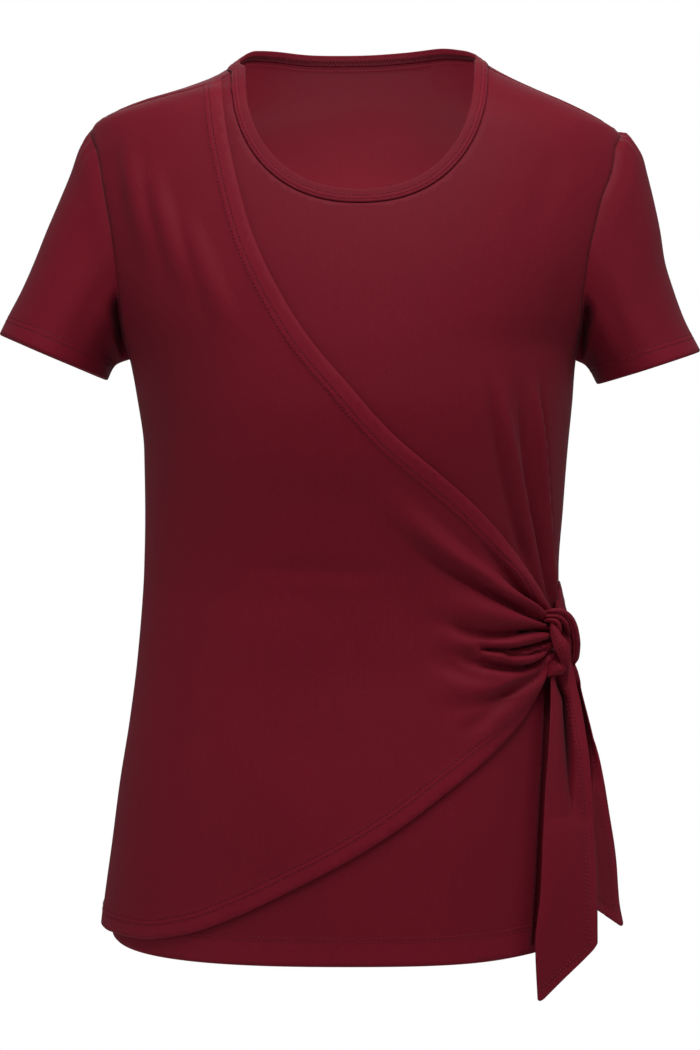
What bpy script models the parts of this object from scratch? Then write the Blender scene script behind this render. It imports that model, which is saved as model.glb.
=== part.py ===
"""A short-sleeved wrap top in jersey, in the hollow form that it has when worn.

A full front and back, two set-in sleeves and a neckband carry a second, wrapped front. That wrapped
front is sewn into the wearer's right shoulder, armhole and side seam, runs free along a slanted upper
edge and a curved lower edge, and is gathered into a knot at the wearer's left waist, where it meets a
tie from the left side seam. Two tails hang from the knot.

Metres, +Z up. The front faces -Y and +X is the wearer's left. The origin is midway between the
shoulders, at the height where they carry the cloth.

A point of the cloth is given by its turn and its height. The turn is 0 at centre front, 1 at the
wearer's left side, 2 at centre back and -1 (or 3) at the wearer's right side.
"""

import math

import bmesh
import bpy
import numpy as np
from mathutils import Vector, geometry

# Cloth, in metres
CLOTH = 0.0011  # wall of one layer of jersey
DOUBLE = 0.0022  # the neckband is folded double
SEAM = 0.0003  # clearance between two pieces
LAYER = CLOTH + SEAM  # how far one layer lies above the next
BAND_WIDTH = 0.0100  # neckband
STEP = 0.026  # spacing of the points of a panel
EDGE_STEP = 0.015  # spacing along its edges
BAND_STEP = 0.011  # spacing along the neck
GIRTH = 0.24  # length of a quarter turn, which makes a flat pattern of a panel
WELD = 0.0012  # points of two seams nearer than this are one point

# The figure, in horizontal sections. Right and left are half widths, front and back are depths, and
# roundness is the exponent of the section: 2 is an ellipse and more is squarer.
FIGURE = np.array(
    [
        (0.0420, 0.0630, 0.0630, 0.020, 0.0440, 2.20),
        (0.0345, 0.0710, 0.0715, 0.028, 0.0500, 2.20),
        (0.0265, 0.0800, 0.0810, 0.036, 0.0560, 2.20),
        (0.0186, 0.0878, 0.0915, 0.045, 0.0620, 2.20),
        (0.0100, 0.1015, 0.1063, 0.055, 0.0690, 2.20),
        (0.0000, 0.1315, 0.1295, 0.065, 0.0760, 2.20),
        (-0.0100, 0.1630, 0.1530, 0.073, 0.0810, 2.25),
        (-0.0230, 0.1850, 0.1765, 0.081, 0.0860, 2.30),
        (-0.0286, 0.1900, 0.1835, 0.084, 0.0880, 2.30),
        (-0.0500, 0.2000, 0.1950, 0.092, 0.0940, 2.35),
        (-0.0750, 0.2030, 0.1980, 0.100, 0.0990, 2.40),
        (-0.1000, 0.2010, 0.1950, 0.107, 0.1020, 2.40),
        (-0.1300, 0.1930, 0.1855, 0.114, 0.1035, 2.40),
        (-0.1600, 0.1795, 0.1705, 0.119, 0.1030, 2.40),
        (-0.1890, 0.1640, 0.1540, 0.1225, 0.1015, 2.40),
        (-0.2230, 0.1560, 0.1510, 0.1240, 0.0985, 2.40),
        (-0.2555, 0.1512, 0.1478, 0.1210, 0.0945, 2.40),
        (-0.2980, 0.1500, 0.1445, 0.1120, 0.0885, 2.40),
        (-0.3410, 0.1510, 0.1415, 0.1045, 0.0845, 2.35),
        (-0.3625, 0.1523, 0.1415, 0.1025, 0.0840, 2.30),
        (-0.4050, 0.1560, 0.1455, 0.1030, 0.0880, 2.30),
        (-0.4480, 0.1614, 0.1530, 0.1070, 0.0960, 2.30),
        (-0.4910, 0.1682, 0.1585, 0.1115, 0.1045, 2.30),
        (-0.5340, 0.1737, 0.1630, 0.1150, 0.1110, 2.30),
        (-0.5770, 0.1795, 0.1665, 0.1170, 0.1150, 2.30),
        (-0.6200, 0.1840, 0.1685, 0.1180, 0.1165, 2.30),
    ],
    dtype=[(name, float) for name in ("height", "right", "left", "front", "back", "roundness")],
)

# Hem: its height at centre front, and how far it rises to the side seams
HEM = -0.6075
HEM_RISE = 0.0155
HEM_CURVE = 3.2
HEM_SIDE = HEM + HEM_RISE

# Armhole seams: height, and distance from the centre on the front and on the back. Each seam runs from
# the shoulder point down to the underarm, and both of those lie on the side line.
ARMHOLE = {
    "right": {
        "shoulder": -0.0230,
        "underarm": -0.1890,
        "seam": [
            (-0.0480, 0.1834, 0.1850),
            (-0.0782, 0.1775, 0.1800),
            (-0.1061, 0.1722, 0.1752),
            (-0.1348, 0.1685, 0.1710),
            (-0.1614, 0.1662, 0.1682),
        ],
    },
    "left": {
        "shoulder": -0.0286,
        "underarm": -0.1895,
        "seam": [
            (-0.0441, 0.1800, 0.1820),
            (-0.0611, 0.1768, 0.1790),
            (-0.0850, 0.1677, 0.1720),
            (-0.1115, 0.1610, 0.1655),
            (-0.1434, 0.1556, 0.1585),
            (-0.1710, 0.1536, 0.1550),
        ],
    },
}
SIDE_SIGN = {"right": -1.0, "left": 1.0}

# Shoulder seams, from the shoulder point to the neck: distance from the centre, and height
SHOULDER = {
    "right": [(0.1556, -0.0126), (0.1327, -0.0073), (0.1101, -0.0020), (0.0963, 0.0042), (0.0895, 0.0093)],
    "left": [(0.1655, -0.0205), (0.1418, -0.0097), (0.1207, 0.0004), (0.1002, 0.0089), (0.0904, 0.0141)],
}
WRAP_START = 3  # the row of the right shoulder seam at which the wrapped front begins

# Neck seam: its lowest point at the front, its height over each shoulder, its turns and heights across
# the back, and the exponent of its front curve
NECK_FRONT = -0.0899
NECK_RIDGE = {"right": 0.0180, "left": 0.0205}
NECK_NAPE = [
    (1.20, 0.0243),
    (1.45, 0.0260),
    (1.72, 0.0262),
    (2.00, 0.0260),
    (2.28, 0.0258),
    (2.55, 0.0248),
    (2.80, 0.0225),
]
NECK_ROUND = 2.25
NECK_POINTS = 61  # points on the front curve before it is spaced evenly
DRAWN_STEP = 0.004  # the same for a line drawn across the figure

# Free edges of the wrapped front, as distance from the centre and height on the full front
WRAP_UPPER = [
    (-0.0963, 0.0042),
    (-0.0908, -0.0381),
    (-0.0824, -0.0769),
    (-0.0732, -0.1093),
    (-0.0402, -0.1743),
    (-0.0085, -0.2137),
    (0.0233, -0.2487),
    (0.0560, -0.2763),
    (0.0818, -0.3000),
    (0.1054, -0.3289),
    (0.1195, -0.3545),
    (0.1262, -0.3705),
]
WRAP_LOWER = [
    (0.1262, -0.4010),
    (0.1232, -0.4130),
    (0.1130, -0.4400),
    (0.0945, -0.4610),
    (0.0540, -0.4945),
    (0.0202, -0.5192),
    (-0.0136, -0.5396),
    (-0.0476, -0.5573),
    (-0.0818, -0.5745),
    (-0.1190, -0.5890),
    (-0.1500, -0.5945),
    (-0.1730, -0.5935),
]
WRAP_CORNER = -0.5870  # height of the wrapped front's lower corner on the right side seam

# Folds that run from the knot across the wrapped front: how high each stands, its half width at the
# knot and at its far end, and its route, as distance from the centre and height
FOLDS = [
    {
        "tall": 0.0038,
        "near": 0.0045,
        "far": 0.008,
        "route": [
            (0.1252, -0.3725), (0.1180, -0.3560), (0.1030, -0.3370),
            (0.0800, -0.3070),
        ],
    },
    {
        "tall": 0.0056,
        "near": 0.0045,
        "far": 0.013,
        "route": [
            (0.1254, -0.3770), (0.1170, -0.3671), (0.0953, -0.3529),
            (0.0665, -0.3327), (0.0300, -0.3010),
        ],
    },
    {
        "tall": 0.0060,
        "near": 0.0045,
        "far": 0.017,
        "route": [
            (0.1256, -0.3820), (0.1170, -0.3760), (0.0980, -0.3730),
            (0.0730, -0.3640), (0.0320, -0.3400),
        ],
    },
    {
        "tall": 0.0060,
        "near": 0.0040,
        "far": 0.011,
        "route": [
            (0.1256, -0.3866), (0.1103, -0.3883), (0.0953, -0.3915),
            (0.0780, -0.3900), (0.0430, -0.3810),
        ],
    },
    {
        "tall": 0.0060,
        "near": 0.0040,
        "far": 0.011,
        "route": [
            (0.1256, -0.3915), (0.1200, -0.3990), (0.1060, -0.4020),
            (0.0880, -0.4000), (0.0520, -0.3900),
        ],
    },
    {
        "tall": 0.0055,
        "near": 0.0045,
        "far": 0.015,
        "route": [
            (0.1254, -0.3955), (0.1200, -0.4080), (0.1040, -0.4160),
            (0.0800, -0.4160), (0.0380, -0.4050),
        ],
    },
    {
        "tall": 0.0046,
        "near": 0.0045,
        "far": 0.015,
        "route": [
            (0.1252, -0.4000), (0.1200, -0.4160), (0.1060, -0.4290),
            (0.0880, -0.4420), (0.0560, -0.4610),
        ],
    },
]
FOLD_FADE = 0.30  # the share of its length at which a fold begins to sink
TROUGHS = [
    [(0.1250, -0.3735), (0.1075, -0.3565), (0.0923, -0.3329), (0.0750, -0.3110)],
    [(0.1250, -0.3785), (0.1104, -0.3718), (0.0953, -0.3611), (0.0735, -0.3451), (0.0528, -0.3327)],
    [(0.1250, -0.3835), (0.1169, -0.3816), (0.1024, -0.3835), (0.0860, -0.3800), (0.0600, -0.3700)],
    [(0.1250, -0.3890), (0.1146, -0.3938), (0.1009, -0.3962), (0.0850, -0.3950), (0.0600, -0.3895)],
    [(0.1250, -0.3960), (0.1182, -0.4048), (0.1040, -0.4090), (0.0800, -0.4070), (0.0550, -0.4000)],
    [(0.1250, -0.4010), (0.1116, -0.4190), (0.0940, -0.4290), (0.0720, -0.4340), (0.0500, -0.4340)],
]
FOLD_STEP = 0.011  # spacing of points along a fold
KNOT_LIFT = 0.0040  # how far the gathers stand off the full front at the knot
KNOT_SPREAD = 0.030
KNOT_AT = (0.1425, -0.3890)

# Sleeves: half depth of the cuff, how far its front hangs below its back, its lower corner, and the
# outer line from the shoulder to the cuff. Places are a distance from the centre and a height.
SLEEVES = {
    "right": {
        "half_depth": 0.0560,
        "tilt": 0.0010,
        "under": (-0.1801, -0.2050),
        "outer": [
            (-0.1956, -0.0336),
            (-0.2056, -0.0551),
            (-0.2142, -0.0765),
            (-0.2235, -0.0980),
            (-0.2321, -0.1194),
            (-0.2406, -0.1409),
            (-0.2506, -0.1623),
            (-0.2552, -0.1730),
        ],
    },
    "left": {
        "half_depth": 0.0560,
        "tilt": 0.0010,
        "under": (0.1709, -0.2075),
        "outer": [
            (0.1930, -0.0339),
            (0.2008, -0.0428),
            (0.2042, -0.0551),
            (0.2092, -0.0765),
            (0.2143, -0.0980),
            (0.2171, -0.1194),
            (0.2236, -0.1409),
            (0.2314, -0.1623),
            (0.2421, -0.1845),
        ],
    },
}
CUFF_MIDDLE = -0.0030  # where the cuffs' middles lie, front to back
SLEEVE_ROUND = 32  # points round a sleeve
SLEEVE_RINGS = 9

# Tie from the left side seam: along it, the turn, its distance from the figure, and its two heights
TIE = np.array(
    [
        (1.000, 0.0016, -0.3480, -0.3900),
        (0.950, 0.0021, -0.3515, -0.3900),
        (0.900, 0.0036, -0.3565, -0.3905),
        (0.850, 0.0055, -0.3625, -0.3910),
        (0.795, 0.0074, -0.3715, -0.3930),
    ],
    dtype=[(name, float) for name in ("turn", "off", "top", "bottom")],
)

# Tails, from the knot down. Each row has the tail's right-hand and left-hand edge as x, y, z, then
# where its fold lies across it, from 0 to 1, and how deep the fold is.
TAIL_COLUMNS = ("x0", "y0", "z0", "x1", "y1", "z1", "fold_at", "fold")
TAILS = {
    "tail_front": np.array(
        [
            (0.1335, -0.0625, -0.4145, 0.1490, -0.0545, -0.4140, 0.35, 0.0080),
            (0.1325, -0.0690, -0.4316, 0.1528, -0.0580, -0.4324, 0.42, 0.0110),
            (0.1315, -0.0755, -0.4473, 0.1552, -0.0610, -0.4482, 0.45, 0.0110),
            (0.1302, -0.0810, -0.4656, 0.1583, -0.0650, -0.4667, 0.48, 0.0080),
            (0.1278, -0.0870, -0.4899, 0.1607, -0.0700, -0.4913, 0.52, 0.0045),
            (0.1259, -0.0930, -0.5242, 0.1622, -0.0740, -0.5260, 0.54, 0.0025),
            (0.1242, -0.0970, -0.5600, 0.1632, -0.0770, -0.5500, 0.55, 0.0018),
            (0.1203, -0.0995, -0.5960, 0.1636, -0.0790, -0.5760, 0.56, 0.0012),
            (0.1218, -0.1000, -0.6355, 0.1637, -0.0800, -0.5989, 0.56, 0.0010),
        ],
        dtype=[(name, float) for name in TAIL_COLUMNS],
    ),
    "tail_back": np.array(
        [
            (0.1405, -0.0470, -0.4125, 0.1515, -0.0350, -0.4100, 0.50, 0.0030),
            (0.1425, -0.0475, -0.4316, 0.1570, -0.0320, -0.4307, 0.50, 0.0045),
            (0.1450, -0.0520, -0.4540, 0.1630, -0.0310, -0.4540, 0.50, 0.0045),
            (0.1475, -0.0560, -0.4800, 0.1695, -0.0300, -0.4817, 0.50, 0.0035),
            (0.1500, -0.0600, -0.5089, 0.1755, -0.0280, -0.5122, 0.50, 0.0022),
            (0.1520, -0.0630, -0.5350, 0.1808, -0.0260, -0.5456, 0.50, 0.0014),
            (0.1540, -0.0645, -0.5560, 0.1830, -0.0255, -0.5750, 0.50, 0.0010),
            (0.1560, -0.0650, -0.5700, 0.1865, -0.0250, -0.5935, 0.50, 0.0010),
        ],
        dtype=[(name, float) for name in TAIL_COLUMNS],
    ),
}
TAIL_ACROSS = 10

# Knot: half width, half thickness and route of each strap, and the centre and radii of its core
KNOT_STRAPS = [
    {
        "half_width": 0.0062,
        "half_thick": 0.0046,
        "route": [
            (0.1405, -0.0470, -0.3720),
            (0.1430, -0.0530, -0.3695),
            (0.1458, -0.0545, -0.3775),
            (0.1476, -0.0510, -0.3890),
            (0.1480, -0.0470, -0.4000),
            (0.1465, -0.0415, -0.4085),
        ],
    },
    {
        "half_width": 0.0064,
        "half_thick": 0.0040,
        "route": [
            (0.1405, -0.0580, -0.3715),
            (0.1385, -0.0645, -0.3800),
            (0.1390, -0.0675, -0.3920),
            (0.1412, -0.0650, -0.4030),
            (0.1422, -0.0595, -0.4100),
        ],
    },
]
KNOT_CORE = ((0.1433, -0.0525, -0.3895), (0.0085, 0.0135, 0.0175))
STRAP_SIDES = 10

BURGUNDY = (0.125, 0.016, 0.026)
SHADES = {
    "front": 0.92,
    "back": 0.86,
    "overlay": 1.00,
    "sleeve_right": 1.06,
    "sleeve_left": 1.06,
    "neckband": 0.97,
    "tie_side": 0.94,
    "knot": 1.02,
    "tail_front": 1.00,
    "tail_back": 0.90,
}


def through(known, values):
    """A smooth curve through rows of values that never overshoots them."""
    known, values = np.asarray(known, float), np.asarray(values, float)
    order = np.argsort(known)
    known, values = known[order], values[order]
    gap = np.diff(known)
    rise = np.diff(values) / gap
    slope = np.empty_like(values)
    slope[0], slope[-1] = rise[0], rise[-1]
    for i in range(1, len(known) - 1):
        before, after = 2 * gap[i] + gap[i - 1], gap[i] + 2 * gap[i - 1]
        same_way = rise[i - 1] * rise[i] > 0
        slope[i] = (before + after) / (before / rise[i - 1] + after / rise[i]) if same_way else 0.0

    def at(where):
        where = np.clip(np.asarray(where, float), known[0], known[-1])
        i = np.clip(np.searchsorted(known, where) - 1, 0, len(gap) - 1)
        t = (where - known[i]) / gap[i]
        ends = (1 + 2 * t) * (1 - t) ** 2 * values[i] + t * t * (3 - 2 * t) * values[i + 1]
        return ends + gap[i] * t * (1 - t) * ((1 - t) * slope[i] - t * slope[i + 1])

    return at


SECTION = {name: through(FIGURE["height"], FIGURE[name]) for name in FIGURE.dtype.names[1:]}


def figure(turn, height):
    """Points on the figure for arrays of turn and height."""
    right, left = SECTION["right"](height), SECTION["left"](height)
    across, along = np.sin(turn * math.pi / 2), np.cos(turn * math.pi / 2)
    bulge = np.sqrt(np.maximum(1 - np.abs(across) ** SECTION["roundness"](height), 0))
    depth = np.where(along >= 0, -SECTION["front"](height), SECTION["back"](height))
    return np.stack([(left - right) / 2 + (left + right) / 2 * across, depth * bulge, height], axis=-1)


def outward(turn, height):
    """The figure's outward direction at arrays of turn and height."""
    small = 0.002
    round_it = figure(turn + small, height) - figure(turn - small, height)
    up_it = figure(turn, height + small) - figure(turn, height - small)
    normal = np.cross(round_it, up_it)
    return normal / np.linalg.norm(normal, axis=-1, keepdims=True)


def raised(turn, height, off):
    """Points that lie off the figure by a distance."""
    off = np.broadcast_to(np.asarray(off, float), np.shape(turn))
    return figure(turn, height) + outward(turn, height) * off[..., None]


def pattern(x, height, back=False):
    """Turn and height of a point given by its distance from the centre and its height."""
    right, left = SECTION["right"](height), SECTION["left"](height)
    across = np.clip((x - (left - right) / 2) / ((left + right) / 2), -1, 1)
    turn = float(np.arcsin(across)) * 2 / math.pi
    return (2 - turn if back else turn, height)


def spaced(points, step=0.0, count=0):
    """Points on a smooth curve through the given ones, about a step apart or a count of them."""
    points = np.asarray(points, float)
    chord = np.concatenate([[0], np.cumsum(np.linalg.norm(np.diff(points, axis=0), axis=1))])
    fine = np.linspace(0, chord[-1], 40 * len(points))
    line = np.stack([through(chord, points[:, k])(fine) for k in range(points.shape[1])], axis=1)
    along = np.concatenate([[0], np.cumsum(np.linalg.norm(np.diff(line, axis=0), axis=1))])
    stops = np.linspace(0, along[-1], count or max(1, round(along[-1] / step)) + 1)
    return np.stack([np.interp(stops, along, line[:, k]) for k in range(points.shape[1])], axis=1)


def flat(points):
    """Turn and height as places on the flat pattern, in metres."""
    return np.asarray(points, float) * (GIRTH, 1.0)


def seam_line(points, step=EDGE_STEP):
    """A smooth seam through points of turn and height."""
    return spaced(flat(points), step) / (GIRTH, 1.0)


def armhole(side, back):
    """Turn and height along an armhole seam, from the shoulder point down to the underarm."""
    sign, sizes = SIDE_SIGN[side], ARMHOLE[side]
    edge = 1.0 if side == "left" else (3.0 if back else -1.0)
    rows = [(edge, sizes["shoulder"])]
    for height, on_front, on_back in sizes["seam"]:
        rows.append(pattern(sign * (on_back if back else on_front), height, back))
    return rows + [(edge, sizes["underarm"])]


def drawn(places):
    """Turn and height along a smooth line through distances from the centre and heights."""
    return [pattern(x, height) for x, height in spaced(places, DRAWN_STEP)]


def shoulder(side):
    """A shoulder seam in two stretches, from the shoulder point to the neck, on the front."""
    sign = SIDE_SIGN[side]
    rows = [(sign * x, height) for x, height in SHOULDER[side]]
    outer = [(sign, ARMHOLE[side]["shoulder"])] + drawn(rows[: WRAP_START + 1])
    return seam_line(outer), seam_line(drawn(rows[WRAP_START:]))


def hem_height(turn):
    """Height of the hem at a turn: lowest at centre front and centre back."""
    from_centre = np.abs(np.where(np.abs(turn) > 1, 2 - np.abs(turn), turn))
    return HEM + HEM_RISE * from_centre**HEM_CURVE


def neck_front():
    """Turn and height along the front neck seam, from the wearer's left to the right."""
    starts = {side: SHOULDER[side][-1] for side in ("left", "right")}
    rows = []
    for angle in np.linspace(0, math.pi, NECK_POINTS):
        side = "left" if angle < math.pi / 2 else "right"
        width, top = starts[side]
        x = math.copysign(abs(math.cos(angle)) ** (2 / NECK_ROUND), math.cos(angle)) * width
        rows.append(pattern(x, top + (NECK_FRONT - top) * math.sin(angle) ** (2 / NECK_ROUND)))
    return rows


def neck_back():
    """Turn and height along the back neck seam, from the wearer's left shoulder seam to the right."""
    left = pattern(SHOULDER["left"][-1][0], SHOULDER["left"][-1][1])
    right = pattern(-SHOULDER["right"][-1][0], SHOULDER["right"][-1][1])
    ends = [(1.0, NECK_RIDGE["left"])], [(3.0, NECK_RIDGE["right"])]
    return [left] + ends[0] + NECK_NAPE + ends[1] + [(4 + right[0], right[1])]


def joined(*pieces):
    """One closed outline from pieces that follow each other, without the points they share."""
    return np.concatenate([piece[:-1] for piece in pieces])


def inset(outline, by):
    """A closed outline drawn in by a distance, on the flat pattern."""
    line = flat(outline)
    run = np.roll(line, -1, axis=0) - line
    run /= np.linalg.norm(run, axis=1, keepdims=True)
    inward = np.stack([-run[:, 1], run[:, 0]], axis=1)
    corner = inward + np.roll(inward, 1, axis=0)
    corner /= np.maximum(np.linalg.norm(corner, axis=1, keepdims=True), 0.5)
    return (line + corner * by) / (GIRTH, 1.0)


def inside(points, outline):
    """Which points lie inside a closed outline."""
    x, y = points[:, 0:1], points[:, 1:2]
    x0, y0 = outline[:, 0], outline[:, 1]
    x1, y1 = np.roll(x0, -1), np.roll(y0, -1)
    crosses = (y0 > y) != (y1 > y)
    with np.errstate(divide="ignore", invalid="ignore"):
        left_of = x < (x1 - x0) * (y - y0) / (y1 - y0) + x0
    return (crosses & left_of).sum(axis=1) % 2 == 1


def lattice(outline, step):
    """Staggered rows of points that fill an outline's box."""
    low, high = outline.min(axis=0), outline.max(axis=0)
    rows = []
    for j, y in enumerate(np.arange(low[1], high[1], step * math.sqrt(3) / 2)):
        xs = np.arange(low[0] + (j % 2) * step / 2, high[0], step)
        rows.append(np.stack([xs, np.full(len(xs), y)], axis=1))
    return np.concatenate(rows)


def filled(outline, lines=()):
    """Triangles that fill an outline on the flat pattern and follow lines that cross it."""
    outline = flat(inset(outline, SEAM))
    points, edges = [tuple(p) for p in outline], []
    count = len(points)
    edges += [(i, (i + 1) % count) for i in range(count)]
    for line in lines:
        route = [tuple(p) for p in flat(line)]
        index = []
        for p in route:
            near = np.linalg.norm(np.array(points) - p, axis=1)
            if near.min() < WELD:
                index.append(int(near.argmin()))
            else:
                points.append(p)
                index.append(len(points) - 1)
        edges += list(zip(index[:-1], index[1:]))
    fixed = np.array(points)
    # Rows of points keep off the edges and off the folds, which have points of their own
    rows = lattice(outline, STEP)
    rows = rows[inside(rows, outline)]
    away = np.linalg.norm(rows[:, None] - fixed[None], axis=2).min(axis=1)
    points += [tuple(p) for p in rows[away > 0.58 * STEP]]
    vertices, _, faces, *_ = geometry.delaunay_2d_cdt([Vector(p) for p in points], edges, [], 1, 1e-7)
    places = np.array([tuple(v) for v in vertices])
    triangles = []
    for face in faces:
        a, b, c = (places[i] for i in face)
        turns_left = (b[0] - a[0]) * (c[1] - a[1]) - (b[1] - a[1]) * (c[0] - a[0]) > 0
        triangles.append(tuple(face) if turns_left else tuple(reversed(face)))
    return places / (GIRTH, 1.0), triangles


def finish(name, mesh):
    """The object of a closed mesh, with outward faces and its own material."""
    bmesh.ops.recalc_face_normals(mesh, faces=mesh.faces)
    data = bpy.data.meshes.new(name)
    mesh.to_mesh(data)
    mesh.free()
    data.shade_smooth()
    data.set_sharp_from_angle(angle=math.radians(50))
    material = bpy.data.materials.new(name + "_jersey")
    material.use_nodes = True
    shader = material.node_tree.nodes["Principled BSDF"]
    shader.inputs["Base Color"].default_value = (*(c * SHADES[name] for c in BURGUNDY), 1.0)
    shader.inputs["Roughness"].default_value = 0.78
    shader.inputs["Metallic"].default_value = 0.0
    shader.inputs["Sheen Weight"].default_value = 0.2
    data.materials.append(material)
    made = bpy.data.objects.new(name, data)
    bpy.context.scene.collection.objects.link(made)
    return made


def wall(name, under, over, faces):
    """One closed wall between the points under it and the points over it, which share their faces."""
    mesh = bmesh.new()
    low = [mesh.verts.new(p) for p in under]
    high = [mesh.verts.new(p) for p in over]
    uses = {}
    for face in faces:
        mesh.faces.new([high[i] for i in face])
        mesh.faces.new([low[i] for i in reversed(face)])
        for a, b in zip(face, face[1:] + face[:1]):
            uses[(a, b)] = uses.get((a, b), 0) + 1
    for a, b in list(uses):
        if (b, a) not in uses:
            mesh.faces.new([high[b], high[a], low[a]])
            mesh.faces.new([high[b], low[a], low[b]])
    return finish(name, mesh)


def grid_faces(rows, columns, closed):
    """Triangles of a grid of points, row after row, closed round each row or not."""
    faces = []
    for r in range(rows - 1):
        for c in range(columns if closed else columns - 1):
            a, b = r * columns + c, r * columns + (c + 1) % columns
            faces += [(a, b, b + columns), (a, b + columns, a + columns)]
    return faces


def point_normals(points, faces):
    """Outward directions of the points of a sheet, from its faces."""
    normals = np.zeros_like(points)
    for face in faces:
        a, b, c = (points[i] for i in face)
        normals[list(face)] += np.cross(b - a, c - a)
    return normals / np.linalg.norm(normals, axis=1, keepdims=True)


def fold_height(x, height):
    """How far the folds lift the wrapped front at a place on it."""
    place = np.stack([x, height], axis=1)
    lift = KNOT_LIFT * np.exp(-((np.linalg.norm(place - KNOT_AT, axis=1) / KNOT_SPREAD) ** 2))
    total = np.zeros(len(place))
    for fold in FOLDS:
        line = spaced(fold["route"], 0.002)
        away = np.linalg.norm(place[:, None] - line[None], axis=2)
        along = away.argmin(axis=1) / (len(line) - 1)
        half = fold["near"] + (fold["far"] - fold["near"]) * along
        shape = np.clip(1 - (away.min(axis=1) / half) ** 2, 0, 1) ** 1.5
        fade = np.clip((along - FOLD_FADE) / (1 - FOLD_FADE), 0, 1)
        total = np.maximum(total, fold["tall"] * (1 - fade**2 * (3 - 2 * fade)) * shape)
    return lift + total


def front_and_overlay():
    """The full front, and the wrapped front made from the same points, moved out."""
    hem = np.linspace(-1, 1, 29)
    upper = seam_line(drawn(WRAP_UPPER))
    gather = seam_line([pattern(*WRAP_UPPER[-1]), pattern(*WRAP_LOWER[0])], 0.005)
    lower = seam_line(drawn(WRAP_LOWER) + [(-1.0, WRAP_CORNER)])
    outer, inner = shoulder("right")
    side_low = seam_line([(-1.0, WRAP_CORNER), (-1.0, HEM_SIDE)], 0.01)
    side_high = seam_line([(-1.0, ARMHOLE["right"]["underarm"]), (-1.0, WRAP_CORNER)])
    arm_right = seam_line(armhole("right", False))
    outline = joined(
        np.stack([hem, hem_height(hem)], axis=1),
        seam_line([(1.0, HEM_SIDE), (1.0, ARMHOLE["left"]["underarm"])]),
        seam_line(armhole("left", False)[::-1]),
        *shoulder("left"),
        seam_line(neck_front(), BAND_STEP),
        inner[::-1],
        outer[::-1],
        arm_right,
        side_high,
        side_low,
    )
    wrap_outline = joined(upper, gather, lower, side_high[::-1], arm_right[::-1], outer)
    folds = []
    for route in [fold["route"] for fold in FOLDS] + TROUGHS:
        folds.append(np.array([pattern(x, height) for x, height in spaced(route, FOLD_STEP)]))
    places, faces = filled(outline, [upper, gather, lower] + folds)
    turn, height = places[:, 0], places[:, 1]
    under, over = figure(turn, height), raised(turn, height, CLOTH)
    wall("front", under, over, faces)

    middles = places[np.array(faces)].mean(axis=1)
    chosen = [face for face, wrapped in zip(faces, inside(flat(middles), flat(wrap_outline))) if wrapped]
    used = sorted({i for face in chosen for i in face})
    number = {old: new for new, old in enumerate(used)}
    chosen = [tuple(number[i] for i in face) for face in chosen]
    turn, height = turn[used], height[used]
    lift = LAYER + fold_height(under[used][:, 0], height)
    low = raised(turn, height, lift)
    thick = point_normals(low, chosen) * CLOTH
    wall("overlay", low, low + thick, chosen)


def back_panel():
    """The full back, which reaches over the shoulders to the shoulder seams."""
    across = np.linspace(1, 3, 29)
    outer, inner = (piece + (4, 0) for piece in shoulder("right"))
    left_outer, left_inner = shoulder("left")
    outline = joined(
        np.stack([across, hem_height(4 - across)], axis=1),
        seam_line([(3.0, HEM_SIDE), (3.0, ARMHOLE["right"]["underarm"])]),
        seam_line(armhole("right", True)[::-1]),
        outer,
        inner,
        seam_line(neck_back(), BAND_STEP)[::-1],
        left_inner[::-1],
        left_outer[::-1],
        seam_line(armhole("left", True)),
        seam_line([(1.0, ARMHOLE["left"]["underarm"]), (1.0, HEM_SIDE)]),
    )
    places, faces = filled(outline)
    turn, height = places[:, 0], places[:, 1]
    wall("back", figure(turn, height), raised(turn, height, CLOTH), faces)


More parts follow.
